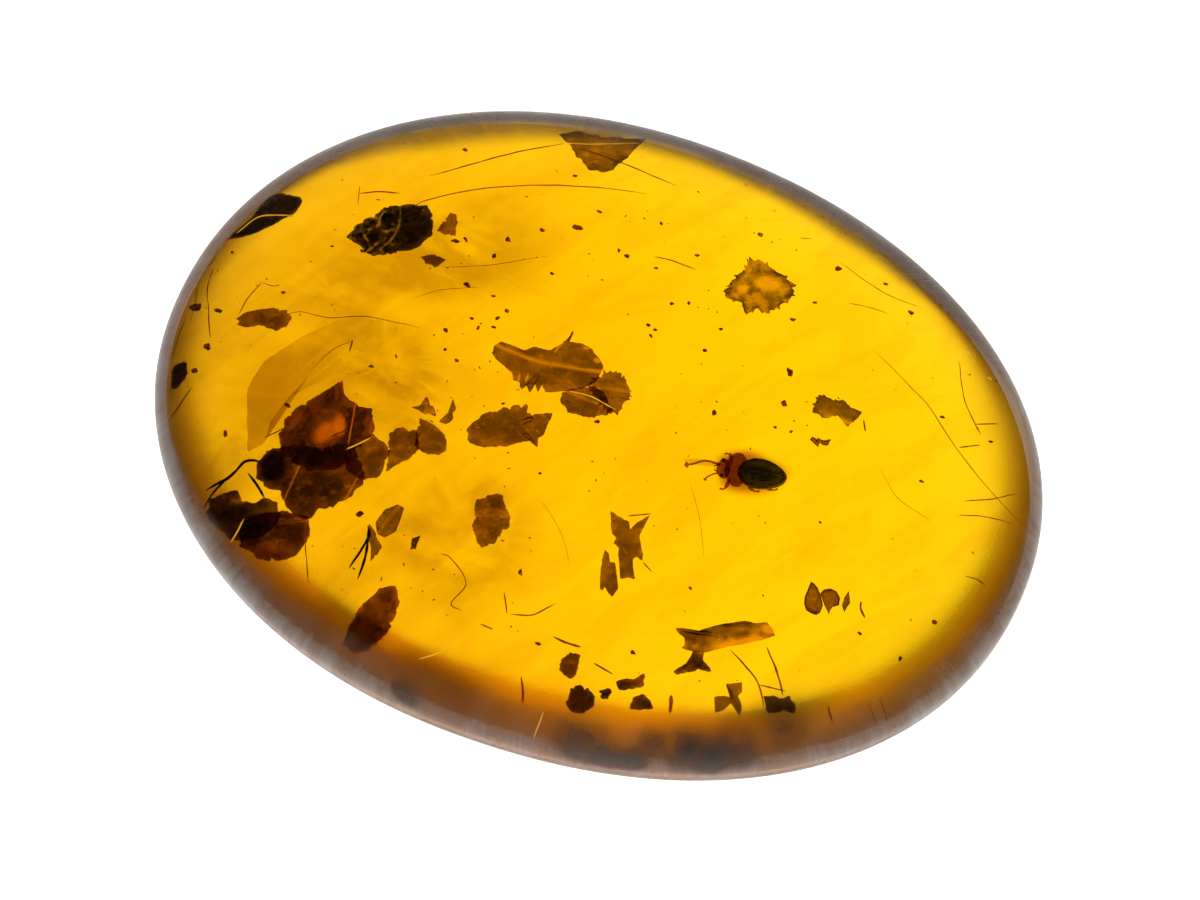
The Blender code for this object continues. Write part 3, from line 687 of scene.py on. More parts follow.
def plate_of(node):
    """The flat plate of a frame node: its middle, its axes, its outline on two of them, its thickness.

    The thin axis is square to the faces that look up. The outline runs along the edges where those
    faces meet the rim.
    """
    bm = bmesh.new()
    bm.from_mesh(frame["nodes"][node].data)
    bmesh.ops.remove_doubles(bm, verts=bm.verts, dist=1e-6)
    bm.verts.index_update()
    bm.normal_update()
    points = np.array([v.co for v in bm.verts]) / MM
    up = np.mean([f.normal for f in bm.faces if f.normal.z > LOOKS_UP], axis=0)
    up /= np.linalg.norm(up)
    side = SIDE - up * (SIDE @ up)
    side /= np.linalg.norm(side)
    ahead = np.cross(up, side)
    follow = {}
    for f in bm.faces:
        if np.dot(f.normal, up) > SQUARE_UP:
            for loop in f.loops:
                if abs(np.dot(loop.link_loop_radial_next.face.normal, up)) < SIDEWAYS:
                    follow[loop.vert.index] = loop.link_loop_next.vert.index
    first = min(follow)
    order, here = [first], follow[first]
    while here != first:
        order.append(here)
        here = follow[here]
    bm.free()
    heights = points @ up
    middle = (points.min(0) + points.max(0)) / 2
    middle += up * ((heights.max() + heights.min()) / 2 - middle @ up)
    flat = points[order] - middle
    return middle, (side, ahead, up), np.stack((flat @ side, flat @ ahead), 1), float(np.ptp(heights))


# How far apart the waves, bites and threads of a torn edge are in mm, from what height of the noise it
# bites, and how many times as deep as the tear
WAVES_APART, BITES_APART, THREADS_APART = 0.9, 0.55, 0.22
BITE_FROM, BITE_DEPTH = 0.55, 3


def torn_edge(outline, count, tear, fringe, rng):
    """The outline at even steps along it, pushed in and out by noise, with threads standing out of it."""
    loop = np.concatenate((outline, outline[:1]))
    run = np.concatenate(([0], np.cumsum(np.linalg.norm(np.diff(loop, axis=0), axis=1))))
    spot = np.linspace(0, run[-1], count, endpoint=False)
    edge = np.stack([np.interp(spot, run, loop[:, k]) for k in range(2)], 1)
    turn = spot / run[-1] * math.tau
    size = run[-1] / math.pi
    around = np.stack((np.cos(turn), np.sin(turn)), 1) * size / 2
    push = tear * ripple(around, rng, WAVES_APART, 5)
    push -= BITE_DEPTH * tear * np.clip(ripple(around, rng, BITES_APART, 3) - BITE_FROM, 0, 1)
    threads = np.clip(ripple(around, rng, THREADS_APART, 2), 0, 1) ** 2
    way = edge - edge.mean(0)
    way /= np.linalg.norm(way, axis=1, keepdims=True)
    return edge + way * (push + fringe * threads)[:, None]


# A scrap's body as a share of its plate's thickness, and what it has at least, in mm. How far apart its
# curls and bumps are in mm, and how high the bumps are as a share of its body
BODY_SHARE, BODY_LEAST = 0.42, 0.02
CURLS_APART, BUMPS_APART, BUMP_SHARE = 2.2, 0.5, 0.35


def torn_flake(plate, tear, fringe, curl, rng, count=120, steps=9):
    """A thin closed scrap: rings from the middle to the torn edge, thinning to it, on a rippled sheet."""
    middle, (side, ahead, up), outline, thick = plate
    edge = torn_edge(outline, count, tear, fringe, rng)
    heart = outline.mean(0)
    share = np.linspace(0, 1, steps + 1)[1:]
    flat = heart + share[:, None, None] * (edge - heart)
    body = BODY_SHARE * thick * np.sqrt(1 - share**5)[:, None] + BODY_LEAST
    body = np.where(share[:, None] > 0.999, 0.0, body) * np.ones(count)
    place = flat.reshape(-1, 2)
    sheet = (curl * ripple(place, rng, CURLS_APART, 2)).reshape(steps, count)
    over = sheet + body * (1 + BUMP_SHARE * ripple(place, rng, BUMPS_APART, 3).reshape(steps, count))
    under = sheet - body * (1 + BUMP_SHARE * ripple(place, rng, BUMPS_APART, 3).reshape(steps, count))
    flats = np.concatenate((flat, flat[-2::-1]))
    heights = np.concatenate((over, under[-2::-1]))
    rings = middle + flats[..., :1] * side + flats[..., 1:] * ahead + heights[..., None] * up
    pole = middle + heart[0] * side + heart[1] * ahead
    surface = closed_rings(rings, pole + up * over[0].mean(), pole + up * under[0].mean())
    shares = np.concatenate((share, share[-2::-1]))
    flat_all = np.concatenate((flats.reshape(-1, 2), [heart, heart]))
    attributes = {"edge": np.concatenate((np.repeat(shares, count), [0, 0])),
                  "plan": np.concatenate((flat_all, np.zeros((len(flat_all), 1))), 1)}
    return surface, attributes


LOOKS = {
    "dark_bark": Look((0.08, 0.050, 0.018), (0.66, 0.50, 0.24), 0.50, 0.80, 0.8, 0.9),
    "brown_bark": Look((0.17, 0.085, 0.014), (0.84, 0.64, 0.28), 0.38, 0.60, 0.9, 0.95),
    "russet_bark": Look((0.17, 0.055, 0.009), (0.86, 0.54, 0.16), 0.46, 0.76, 0.8, 0.9),
    "olive_leaf": Look((0.18, 0.105, 0.018), (0.85, 0.68, 0.32), 0.34, 0.54, 1.25, 0.95),
    "tan_fibre": Look((0.21, 0.11, 0.02), (0.94, 0.76, 0.30), 0.20, 0.58, 1.3, 0.5),
}
CRUMB_LOOK = Look((0.13, 0.050, 0.009), (0.80, 0.52, 0.22), 0.36, 0.75, 1.0, 0.3)
DEEP_RED = Look((0.15, 0.055, 0.009), (0.84, 0.53, 0.15), 0.48, 0.80, 0.8, 1.1)
DEEP_BROWN = Look((0.12, 0.052, 0.010), (0.76, 0.52, 0.18), 0.50, 0.80, 0.8, 1.2)
LEAFLET = Look((0.16, 0.068, 0.012), (0.84, 0.60, 0.26), 0.38, 0.52, 1.75, 0.5)
POD_SKIN = Look((0.20, 0.075, 0.010), (0.95, 0.72, 0.28), 0.26, 0.60, 1.0, 0.8)
OLIVE_BARK = Look((0.12, 0.06, 0.012), (0.80, 0.60, 0.22), 0.38, 0.60, 0.8, 0.9)
GREY_BARK = Look((0.13, 0.115, 0.065), (0.55, 0.50, 0.32), 0.78, 0.95, 0.8, 1.2)
# Tear, fringe and curl in mm, for scraps that aren't like the rest
EDGES = {
    "striped_bark": (0.03, 0.06, 0.08),
    "fringed_bark": (0.08, 0.25, 0.08),
    "fuzzy_tuft": (0.09, 0.30, 0.10),
    "grey_blade": (0.03, 0.12, 0.05),
    "zigzag_scrap": (0.01, 0.02, 0.02),
    "triangle_scrap": (0.01, 0.02, 0.05),
    "rim_flake": (0.03, 0.05, 0.05),
    "pod": (0.02, 0.02, 0.08),
    "pod_stub": (0.02, 0.02, 0.04),
    "petal": (0.01, 0.00, 0.10),
    "leaflet_a": (0.01, 0.00, 0.05),
    "leaflet_b": (0.02, 0.00, 0.05),
    "leaflet_c": (0.01, 0.00, 0.04),
    "spiky_leaf": (0.02, 0.02, 0.08),
    "spindle": (0.02, 0.02, 0.05),
}
USUAL_EDGE = (0.075, 0.05, 0.08)
# The way the fibres run, the look, ribs, windows, shades and a cracked patch, in each piece's own plan
MARKS = {
    "striped_bark": dict(grain_turn=-0.3, ribs=((-0.29, -0.12, 0.05, 0.13),),
                         windows=(((0.61, 0.84), (0.85, 0.11), 1.02), ((1.75, 0.62), (0.3, 0.12), 0.2),
                                  ((2.2, 0.0), (0.25, 0.2), 0.0), ((-1.55, -0.75), (0.1, 0.3), -0.2),
                                  ((-1.2, -0.85), (0.1, 0.3), -0.2), ((-0.85, -0.85), (0.1, 0.28), -0.3))),
    "bark_lobe": dict(grain_turn=-0.3, ribs=((-0.40, 0.10, 0.0, 0.06),)),
    "fringed_bark": dict(grain_turn=-0.3, ribs=((-0.15, 0.1, 0.0, 0.05),)),
    "banded_seed": dict(grain_turn=0.1, ribs=((0.02, 0.40, -0.15, 0.12),)),
    "red_bark": dict(grain_turn=1.1, look=DEEP_RED, ribs=((1.45, -0.95, 0.0, 0.05),),
                     windows=(((-0.1, -0.25), (0.95, 0.55), 0.75), ((0.45, 0.05), (0.35, 0.75), 0.1))),
    "bark_core": dict(grain_turn=0.4, look=DEEP_BROWN,
                      ribs=((1.05, -1.95, 0.05, 0.06), (1.2, 0.55, 0.0, 0.05)),
                      shades=(((0.2, 0.85), (0.55, 0.6), 0.0), ((-1.65, 0.55), (0.75, 0.95), 0.3))),
    "olive_bark": dict(grain_turn=0.8, look=OLIVE_BARK),
    "black_bark": dict(grain_turn=0.2, windows=(((-0.2, 0.7), (0.5, 0.25), 0.0),)),
    "leaflet_a": dict(grain_turn=1.5, look=LEAFLET),
    "leaflet_b": dict(grain_turn=-0.9, look=LEAFLET),
    "leaflet_c": dict(grain_turn=1.3, look=LEAFLET),
    "brown_block": dict(grain_turn=0.0, look=DEEP_RED, ribs=((-0.03, 0.55, 0.0, 0.05),)),
    "top_bark": dict(grain_turn=0.9, look=GREY_BARK, cracked=((-0.95, -0.2), (1.5, 1.9), 0.0),
                     ribs=((1.25, -0.15, 0.25, 0.06),)),
    "rim_flake": dict(grain_turn=0.6, look=GREY_BARK),
    "pod": dict(grain_turn=0.1, look=POD_SKIN,
                windows=(((0.7, -0.35), (1.7, 0.30), 0.22), ((1.9, 0.25), (0.5, 0.3), 0.0)),
                shades=(((-1.2, 0.0), (0.9, 0.5), 0.0), ((0.7, 0.50), (1.2, 0.22), 0.05))),
    "pod_stub": dict(grain_turn=0.9, look=DEEP_BROWN),
    "zigzag_scrap": dict(grain_turn=0.2, look=LEAFLET),
    "fuzzy_tuft": dict(grain_turn=0.2,
                       windows=(((0.35, 0.25), (0.85, 0.55), -0.3), ((-0.7, 0.0), (0.4, 0.3), 0.5))),
    "mid_bark": dict(grain_turn=0.1),
    **{"bottom_chip_" + letter: dict(grain_turn=0.5, look=DEEP_BROWN) for letter in "abcde"},
    "petal": dict(grain_turn=0.9, ribs=((0.95, 0.05, 0.0, 0.04),)),
    "grey_blade": dict(grain_turn=-0.3, windows=(((0.1, -0.45), (0.9, 0.2), -0.3),)),
}
# Where scraps lie over one another: picture places round each, how far above the layer, how thick
LAPPED = {
    "red_bark": (((281, 449), (280, 432), (286, 418), (296, 408), (318, 396), (342, 382), (345, 396),
        (352, 404), (361, 408), (370, 410), (375, 424), (371, 437), (362, 444), (352, 449), (350, 460),
        (335, 468), (310, 468), (292, 460)), 0.5, 0.4),
    "bark_core": (((258, 460), (266, 451), (284, 447), (300, 444), (320, 450), (340, 446), (354, 446),
        (360, 462), (364, 474), (362, 486), (350, 497), (336, 504), (320, 508), (310, 517), (298, 514),
        (287, 503), (280, 490), (268, 487), (257, 476)), -0.4, 0.4),
    "olive_bark": (((344, 452), (354, 446), (363, 440), (372, 435), (381, 441), (390, 452), (384, 466),
        (377, 476), (367, 478), (358, 478), (348, 470)), 0.1, 0.3),
    "black_bark": (((206, 512), (211, 500), (222, 494), (237, 491), (241, 499), (258, 503), (264, 498),
        (277, 503), (281, 516), (272, 530), (258, 537), (246, 542), (230, 538), (214, 526)), 0.2, 0.4),
    "brown_block": (((240, 522), (266, 513), (288, 511), (308, 518), (310, 530), (306, 544), (296, 555),
        (276, 560), (256, 557), (240, 545)), -0.3, 0.4),
    "twin_bark": (((388, 434), (399, 429), (414, 430), (419, 436), (418, 450), (408, 458), (398, 463),
        (386, 470), (389, 450)), 0.0, 0.4),
    "domed_bark": (((415, 432), (421, 421), (432, 421), (440, 430), (448, 440), (446, 450), (432, 455),
        (422, 452), (416, 446)), 0.1, 0.4),
    "bark_lobe": (((562, 394), (580, 388), (594, 386), (605, 393), (613, 408), (606, 414), (590, 417),
        (568, 413), (561, 403)), -0.2, 0.3),
    "fringed_bark": (((588, 386), (599, 377), (612, 372), (624, 374), (630, 386), (629, 398), (621, 408),
        (609, 413), (598, 400)), 0.1, 0.3),
    "striped_bark": (((494, 350), (502, 345), (513, 348), (524, 352), (535, 348), (550, 351), (563, 342),
        (574, 331), (569, 341), (580, 341), (590, 345), (600, 356), (604, 363), (600, 371), (592, 380),
        (583, 385), (565, 389), (551, 391), (546, 392), (542, 384), (538, 392), (534, 383), (530, 393),
        (526, 384), (521, 391), (518, 382), (513, 382), (511, 374), (503, 368), (496, 363), (492, 357)),
        0.0, 0.3),
    "pod": (((675, 628), (687, 633), (695, 632), (708, 627), (724, 624), (745, 621), (755, 623), (767, 622),
        (773, 629), (775, 635), (761, 640), (740, 644), (719, 649), (704, 653), (690, 651), (681, 648),
        (685, 645), (684, 638), (677, 632)), 0.0, 0.3),
    "pod_stub": (((693, 651), (704, 652), (703, 660), (710, 667), (711, 671), (700, 669), (690, 672),
        (676, 675), (673, 672), (684, 665), (691, 656)), -0.1, 0.3),
    "leaflet_a": (((811, 581), (808, 588), (805, 596), (804, 603), (806, 610), (811, 613), (816, 615),
        (820, 613), (823, 606), (822, 600), (820, 594), (818, 588), (814, 583)), 0.0, 0.3),
    "leaflet_b": (((820, 593), (824, 589), (830, 588), (836, 592), (840, 599), (839, 606), (833, 607),
        (830, 610), (829, 614), (826, 607), (823, 601)), 0.1, 0.3),
    "leaflet_c": (((849, 591), (844, 598), (842, 605), (844, 612), (847, 607), (850, 603)), 0.0, 0.3),
    "grey_blade": (((819, 394), (826, 396), (835, 400), (844, 401), (851, 408), (862, 413), (858, 420),
        (851, 424), (847, 427), (842, 420), (838, 416), (832, 416), (828, 418), (822, 417), (818, 413),
        (812, 411), (815, 402)), 0.0, 0.3),
    "zigzag_scrap": (((812, 436), (816, 441), (818, 437), (822, 440), (827, 442), (831, 440), (828, 446),
        (823, 445), (820, 442), (818, 447), (814, 443), (810, 439)), 0.0, 0.2),
    "spiky_leaf": (((610, 509), (614, 511), (617, 514), (624, 517), (629, 520), (630, 528), (637, 521),
        (650, 513), (646, 522), (641, 532), (639, 535), (641, 544), (643, 554), (642, 562), (637, 557),
        (633, 560), (633, 570), (635, 582), (628, 580), (620, 581), (619, 565), (618, 556), (619, 548),
        (613, 543), (616, 538), (612, 532), (611, 524), (611, 516)), 0.0, 0.3),
    "spindle": (((605, 548), (602, 558), (600, 575), (600, 590), (602, 592), (604, 587), (608, 594),
        (612, 599), (615, 594), (618, 590), (617, 575), (615, 562), (610, 561), (609, 553)), 0.0, 0.3),
    "rim_patch": (((172, 388), (171, 376), (174, 366), (180, 362), (186, 362), (187, 374), (183, 384),
        (177, 389)), 0.0, 0.3),
    "left_flake": (((236, 318), (246, 311), (258, 309), (273, 308), (288, 312), (291, 320), (285, 328),
        (276, 332), (262, 326), (248, 327), (238, 324)), 0.1, 0.3),
    "bottom_chip_a": (((561, 656), (570, 652), (579, 656), (580, 664), (577, 674), (571, 679), (564, 675),
        (559, 667)), 0.0, 0.4),
    "bottom_chip_b": (((566, 701), (572, 690), (580, 686), (590, 688), (595, 697), (592, 706), (584, 711),
        (574, 712), (567, 708)), 0.0, 0.4),
    "bottom_chip_c": (((599, 691), (607, 689), (613, 692), (608, 698), (601, 698)), 0.0, 0.3),
    "bottom_chip_d": (((617, 682), (624, 679), (634, 680), (645, 674), (645, 686), (640, 688), (632, 687),
        (624, 691), (618, 690)), 0.0, 0.4),
    "bottom_chip_e": (((632, 698), (642, 695), (650, 701), (653, 708), (641, 710), (630, 708)), 0.0, 0.4),
    "triangle_scrap": (((726, 684), (742, 682), (742, 692), (737, 694), (742, 705), (740, 716), (735, 709),
        (731, 703), (722, 711), (715, 713), (714, 698), (722, 697), (730, 699), (734, 695), (731, 690)),
        0.0, 0.3),
    "dark_chip": (((763, 697), (772, 696), (783, 699), (790, 695), (796, 703), (793, 712), (784, 710),
        (775, 713), (766, 711)), 0.0, 0.4),
    "top_wedge": (((558, 134), (566, 143), (573, 148), (580, 160), (590, 170), (601, 173), (612, 170),
        (622, 163), (630, 153), (641, 143), (648, 138), (630, 139), (600, 136), (580, 131)), 0.0, 0.3),
    "fuzzy_tuft": (((750, 258), (760, 261), (773, 270), (790, 282), (796, 286), (793, 294), (788, 301),
        (779, 306), (768, 312), (758, 308), (747, 312), (740, 302), (728, 297), (723, 290), (732, 281),
        (740, 273), (748, 267)), 0.0, 0.4),
    "rim_flake": (((229, 239), (233, 233), (242, 226), (252, 217), (258, 210), (262, 203), (270, 196),
        (281, 193), (292, 195), (300, 197), (303, 201), (300, 207), (294, 214), (280, 221), (268, 228),
        (256, 233), (243, 237)), 0.0, 0.3),
}
# Nodes that have a function of their own
APART = ("amber_upper", "amber_lower", "beetle", "rootlet", "bristle_pair", "flow_sheet")


def make_scraps():
    """A torn flake in the place of each plate of the frame, in the look of its slot or one of its own."""
    slots = {part["node"]: part["material_slot"] for part in frame["record"]["subparts"]}
    usual = {slot: scrap_material(slot, look) for slot, look in LOOKS.items()}
    for number, (node, slot) in enumerate(sorted(slots.items())):
        if node in APART:
            continue
        rng = np.random.default_rng(100 + number)
        plate = plate_at(*LAPPED[node]) if node in LAPPED else plate_of(node)
        surface, attributes = torn_flake(plate, *EDGES.get(node, USUAL_EDGE), rng)
        marks = dict(MARKS.get(node, {}))
        look = marks.pop("look", LOOKS[slot])
        material = scrap_material(node + "_film", look, **marks) if node in MARKS else usual[slot]
        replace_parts(make_piece("torn_" + node, surface, material, attributes), node)


FLOW_SHADES = ((0.3, (0.10, 0.06, 0.01)), (0.7, (0.16, 0.10, 0.01)))
FLOW_TINTS = ((0.0, (0.84, 0.76, 0.5)), (1.0, (1.0, 1.0, 1.0)))
FLOW_FADE = -2.5, 2.2  # where along its own plan, in mm, the film begins to fade and is gone


def make_flow_sheet():
    """A film of older, browner resin with a crisp border, fading at its inner end."""
    material, shader, output, node, link = blank("flow_film")
    cloud = noise(node, link, object_place(node), 3.0, 4.0)
    link(ramp(node, link, cloud, FLOW_SHADES), shader.inputs["Base Color"])
    dress(shader, shine=0.0)
    along = parted(node, link, attribute(node, "plan", "Vector"))[0]
    film = ramp(node, link, spread(node, link, along, *FLOW_FADE), FLOW_TINTS)
    see_through(node, link, shader, output, spread(node, link, cloud, 0.3, 0.7, 0.01, 0.06), film)
    rng = np.random.default_rng(60)
    surface, attributes = torn_flake(plate_of("flow_sheet"), 0.03, 0.0, 0.10, rng, steps=14)
    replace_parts(make_piece("flow_film", surface, material, attributes), "flow_sheet")


# ---------------------------------------------------------------- what lies among the scraps

def plate_at(places, lift, thick):
    """A level plate like plate_of's, from the picture places of its outline."""
    spots = inside(places, lift)
    middle = (spots.min(0) + spots.max(0)) / 2
    flat = spots - middle
    return middle, (SIDE, AHEAD, UP), np.stack((flat @ SIDE, flat @ AHEAD), 1), thick


# Lines as the view shows them: picture places along each, then how far above the layer, then radius
DARK_HAIRS = (
    (((430, 176), (476, 163), (522, 151), (564, 144)), 0.6, 0.035),
    (((388, 226), (416, 205), (435, 198), (478, 189), (545, 185), (602, 188), (646, 194)), 0.9, 0.03),
    (((575, 147), (622, 163), (677, 186)), 0.3, 0.03),
    (((192, 387), (182, 402), (169, 420)), 0.2, 0.035),
    (((213, 268), (208, 286), (207, 303)), 0.3, 0.025),
    (((186, 318), (178, 338), (172, 359)), 0.0, 0.025),
    (((208, 300), (210, 338)), 0.2, 0.03),
    (((262, 282), (249, 297), (239, 314)), 0.4, 0.03),
    (((264, 438), (285, 427)), 0.6, 0.03),
    (((655, 257), (676, 262), (696, 270)), 0.5, 0.03),
    (((840, 262), (870, 284), (895, 298), (920, 307)), 0.3, 0.02),
    (((849, 303), (868, 307), (888, 314)), 0.3, 0.02),
    (((875, 351), (903, 379), (930, 408), (957, 449), (994, 495), (1024, 527)), 0.2, 0.02),
    (((959, 360), (964, 397), (975, 424), (981, 434)), 0.0, 0.025),
    (((975, 424), (998, 424)), 0.0, 0.03),
    (((959, 447), (980, 445)), 0.1, 0.03),
    (((964, 501), (990, 499), (1017, 494)), 0.0, 0.025),
    (((959, 515), (987, 517), (1012, 524)), 0.0, 0.025),
    (((966, 576), (977, 579), (985, 585)), 0.0, 0.03),
    (((440, 554), (451, 559), (466, 583), (451, 603), (462, 611)), 0.3, 0.025),
    (((504, 592), (507, 614)), 0.2, 0.03),
    (((511, 614), (533, 615), (556, 603)), 0.3, 0.03),
    (((480, 624), (493, 629)), 0.2, 0.03),
    (((553, 637), (567, 643), (581, 647)), 0.3, 0.05),
    (((594, 663), (613, 674)), 0.2, 0.04),
    (((731, 650), (745, 666), (759, 685), (764, 707)), 0.4, 0.04),
    (((767, 648), (776, 670), (783, 696)), 0.4, 0.045),
    (((759, 685), (772, 688), (785, 691)), 0.2, 0.03),
    (((305, 540), (307, 562), (308, 584)), 0.2, 0.03),
    (((628, 516), (651, 514)), 0.6, 0.03),
    (((643, 562), (652, 572)), 0.3, 0.03),
    (((360, 193), (380, 192), (400, 193)), 0.4, 0.04),
    (((445, 267), (470, 266), (497, 264), (549, 256)), 0.4, 0.015),
    (((864, 420), (865, 431)), 0.2, 0.04),
    (((353, 340), (349, 352)), 0.4, 0.035),
    (((671, 696), (671, 704), (670, 713)), 0.0, 0.09),
    (((568, 341), (573, 331)), 0.3, 0.04),
    (((232, 238), (259, 217), (293, 216)), 0.2, 0.04),
    (((309, 372), (330, 352), (353, 340)), 0.7, 0.015),
    (((410, 300), (440, 290), (480, 287)), 0.7, 0.012),
    (((690, 480), (700, 520), (704, 560)), 0.8, 0.010),
    (((540, 500), (560, 530), (570, 565)), 0.8, 0.010),
    (((880, 470), (900, 500), (930, 520)), 0.4, 0.012),
    (((861, 602), (861, 609), (865, 618)), 0.0, 0.06),
    (((275, 318), (300, 312), (330, 318), (360, 316), (395, 322), (420, 328)), 0.5, 0.02),
    (((205, 268), (212, 262), (218, 245)), 0.2, 0.02),
    (((800, 238), (812, 239)), 0.2, 0.02),
    (((262, 283), (272, 286), (280, 285)), 0.4, 0.02),
    (((828, 706), (830, 714), (833, 723)), 0.9, 0.045),
    (((868, 700), (872, 712), (877, 726)), 1.2, 0.025),
    (((880, 698), (884, 710), (888, 722)), 1.2, 0.02),
    (((857, 702), (860, 718)), 1.0, 0.02),
    (((521, 677), (523, 690), (522, 703)), 0.3, 0.05),
    (((505, 698), (502, 716)), 0.9, 0.02),
    (((472, 688), (467, 706)), 0.9, 0.02),
    (((360, 186), (358, 205)), 0.4, 0.02),
    (((198, 282), (196, 300), (190, 322)), 0.2, 0.02),
    (((330, 437), (345, 430), (352, 421)), 0.9, 0.03),
)
# Painted glints: threads that glow gold where healed cracks and streaks would catch the light
GLINT_THREADS = (
    (((237, 233), (259, 217), (293, 215)), 0.35, 0.035),
    (((570, 391), (592, 397), (616, 410)), 0.6, 0.03),
    (((244, 519), (238, 530), (231, 542)), 0.5, 0.035),
    (((347, 449), (358, 444), (370, 438)), 0.7, 0.035),
    (((419, 659), (437, 654), (455, 648)), 0.2, 0.03),
    (((564, 143), (600, 144), (640, 143)), 0.4, 0.03),
    (((420, 417), (434, 425), (448, 437)), 0.4, 0.03),
    (((543, 712), (539, 724), (534, 738)), 1.0, 0.03),
    # Painted highlights: tiny glowing dashes under the dome, for reflections on its skin
    (((728, 165), (735, 167)), 1.6, 0.04),
    (((877, 255), (884, 258)), 1.2, 0.04),
    (((964, 350), (969, 353)), 0.8, 0.04),
    (((988, 377), (992, 380)), 0.6, 0.03),
)
# Crumbs and short dashes: picture place, length and turn in the picture (degrees)
CRUMBS = (
    (332, 248, 5, 20), (233, 251, 5, 60), (283, 295, 5, 0), (465, 151, 6, 30), (575, 177, 5, 10),
    (508, 244, 8, 70), (494, 260, 7, 110), (542, 230, 7, 40), (577, 227, 14, 15), (599, 211, 7, 30),
    (619, 251, 6, 80), (627, 260, 6, 20), (661, 222, 6, 60), (697, 256, 6, 10), (656, 268, 5, 0),
    (552, 273, 6, 30), (467, 286, 10, 40), (493, 295, 7, 10), (507, 308, 7, 70), (498, 315, 6, 150),
    (494, 324, 6, 20), (478, 331, 6, 90), (446, 329, 6, 30), (472, 318, 5, 0), (445, 351, 5, 0),
    (457, 358, 6, 50), (672, 302, 6, 20), (689, 305, 5, 100), (648, 325, 6, 30), (655, 330, 5, 0),
    (651, 339, 6, 60), (721, 329, 5, 0), (705, 348, 5, 20), (714, 418, 7, 80), (597, 426, 7, 20),
    (761, 238, 6, 40), (815, 300, 5, 0), (793, 324, 6, 30), (838, 269, 9, 35), (886, 285, 9, 30),
    (912, 314, 8, 40), (790, 371, 11, 75), (784, 400, 8, 80), (775, 431, 5, 0), (791, 437, 5, 0),
    (990, 439, 5, 0), (922, 485, 6, 20), (942, 415, 5, 0), (934, 620, 6, 30), (371, 369, 6, 20),
    (396, 357, 6, 60), (226, 430, 9, 80), (520, 577, 9, 85), (538, 644, 6, 0), (633, 649, 6, 30),
    (363, 255, 7, 20), (466, 238, 7, 60), (360, 519, 9, 0), (216, 314, 10, 15), (195, 307, 17, 10),
    (208, 344, 13, 35), (195, 369, 9, 15), (288, 405, 9, 30), (246, 529, 5, 0), (260, 526, 5, 0),
    (455, 244, 9, 10), (503, 402, 5, 0), (690, 590, 5, 40), (860, 640, 5, 10), (900, 660, 6, 80),
    (540, 470, 4, 0), (820, 520, 4, 30),
)
CRUMB_SCALE, CRUMB_LIFT, CRUMB_THICK = 0.046, 0.3, 0.14  # the first is millimetres to a pixel
# How many grains of dust, how far from the layer they stray, how far they keep off the skin, and the
# share of the radius that they keep within
DUST_COUNT, DUST_STRAY, DUST_UNDER_DOME, DUST_WITHIN = 260, 1.0, 0.5, 0.93


def make_lines(name, lines, material, sides=6, steps=28):
    """Rods along smooth curves through the sight-line points, swelling and thinning a little."""
    rng = np.random.default_rng(7)
    share = np.linspace(-1, 1, steps)
    rods = []
    for places, lift, radius in lines:
        path = smooth_path(inside(places, lift), steps)
        path = path + 0.02 * np.stack([ripple(path, rng, 1.5, 2) for _ in range(3)], 1)
        radii = radius * (1 - 0.7 * share**4) * (1 + 0.25 * ripple(path, rng, 0.6, 2))
        rods.append(tube(path, radii, sides))
    return make_piece(name, joined(rods), material)


def chip(centre, half, rng, turn):
    """A ragged pebble: a small ellipsoid whose points are moved by noise, turned about the vertical."""
    points, faces = bead((0, 0, 0), half, 5, 8)
    points = points * (1 + 0.35 * ripple(points / max(half), rng, 1.6, 2))[:, None]
    return turned(points, turn) + centre, faces


def make_crumbs(material):
    """Small torn flakes: each a loop of a few corners at uneven distances, drawn out along its turn."""
    rng = np.random.default_rng(11)
    spots = inside([crumb[:2] for crumb in CRUMBS], CRUMB_LIFT)
    chips, shares = [], []
    for spot, (_, _, length, turn) in zip(spots, CRUMBS):
        angle = LAYER_TURN - math.radians(turn)
        side = np.array((math.cos(angle), math.sin(angle), 0.0))
        ahead = np.array((-side[1], side[0], 0.0))
        corner = np.linspace(0, math.tau, 7, endpoint=False) + rng.uniform(0, 1)
        reach = rng.uniform(0.6, 1.15, 7) * length / 2 * CRUMB_SCALE
        outline = np.stack((np.cos(corner) * reach, np.sin(corner) * reach * rng.uniform(0.5, 0.8)), 1)
        plate = spot + (0, 0, rng.uniform(-0.5, 0.8)), (side, ahead, UP), outline, CRUMB_THICK
        surface, attributes = torn_flake(plate, 0.02, 0.02, 0.02, rng, count=28, steps=4)
        chips.append(surface)
        shares.append(attributes)
    together = {key: np.concatenate([each[key] for each in shares]) for key in shares[0]}
    make_piece("crumbs", joined(chips), material, together)


def make_dust(material):
    """Fine grains strewn through the stone, thicker near the layer and towards the blunt end."""
    rng = np.random.default_rng(13)
    grains = []
    while len(grains) < DUST_COUNT:
        x, y = rng.uniform(-LENGTH / 2, LENGTH / 2), rng.uniform(-WIDTH / 2, WIDTH / 2)
        if rim_share(x, y) > DUST_WITHIN or rng.uniform() > 0.45 + 0.55 * (x < -2):
            continue
        z = layer_height(x, y) + rng.normal() * DUST_STRAY
        z = min(max(z, 1.2 + 3.0 * rim_share(x, y) ** 4), dome_height(x, y) - DUST_UNDER_DOME)
        half = rng.uniform(0.012, 0.035) * np.array((rng.uniform(1, 2.6), 1, rng.uniform(0.6, 1)))
        grains.append(chip(np.array((x, y, z)), half, rng, rng.uniform(0, math.tau)))
    make_piece("dust", joined(grains), material)


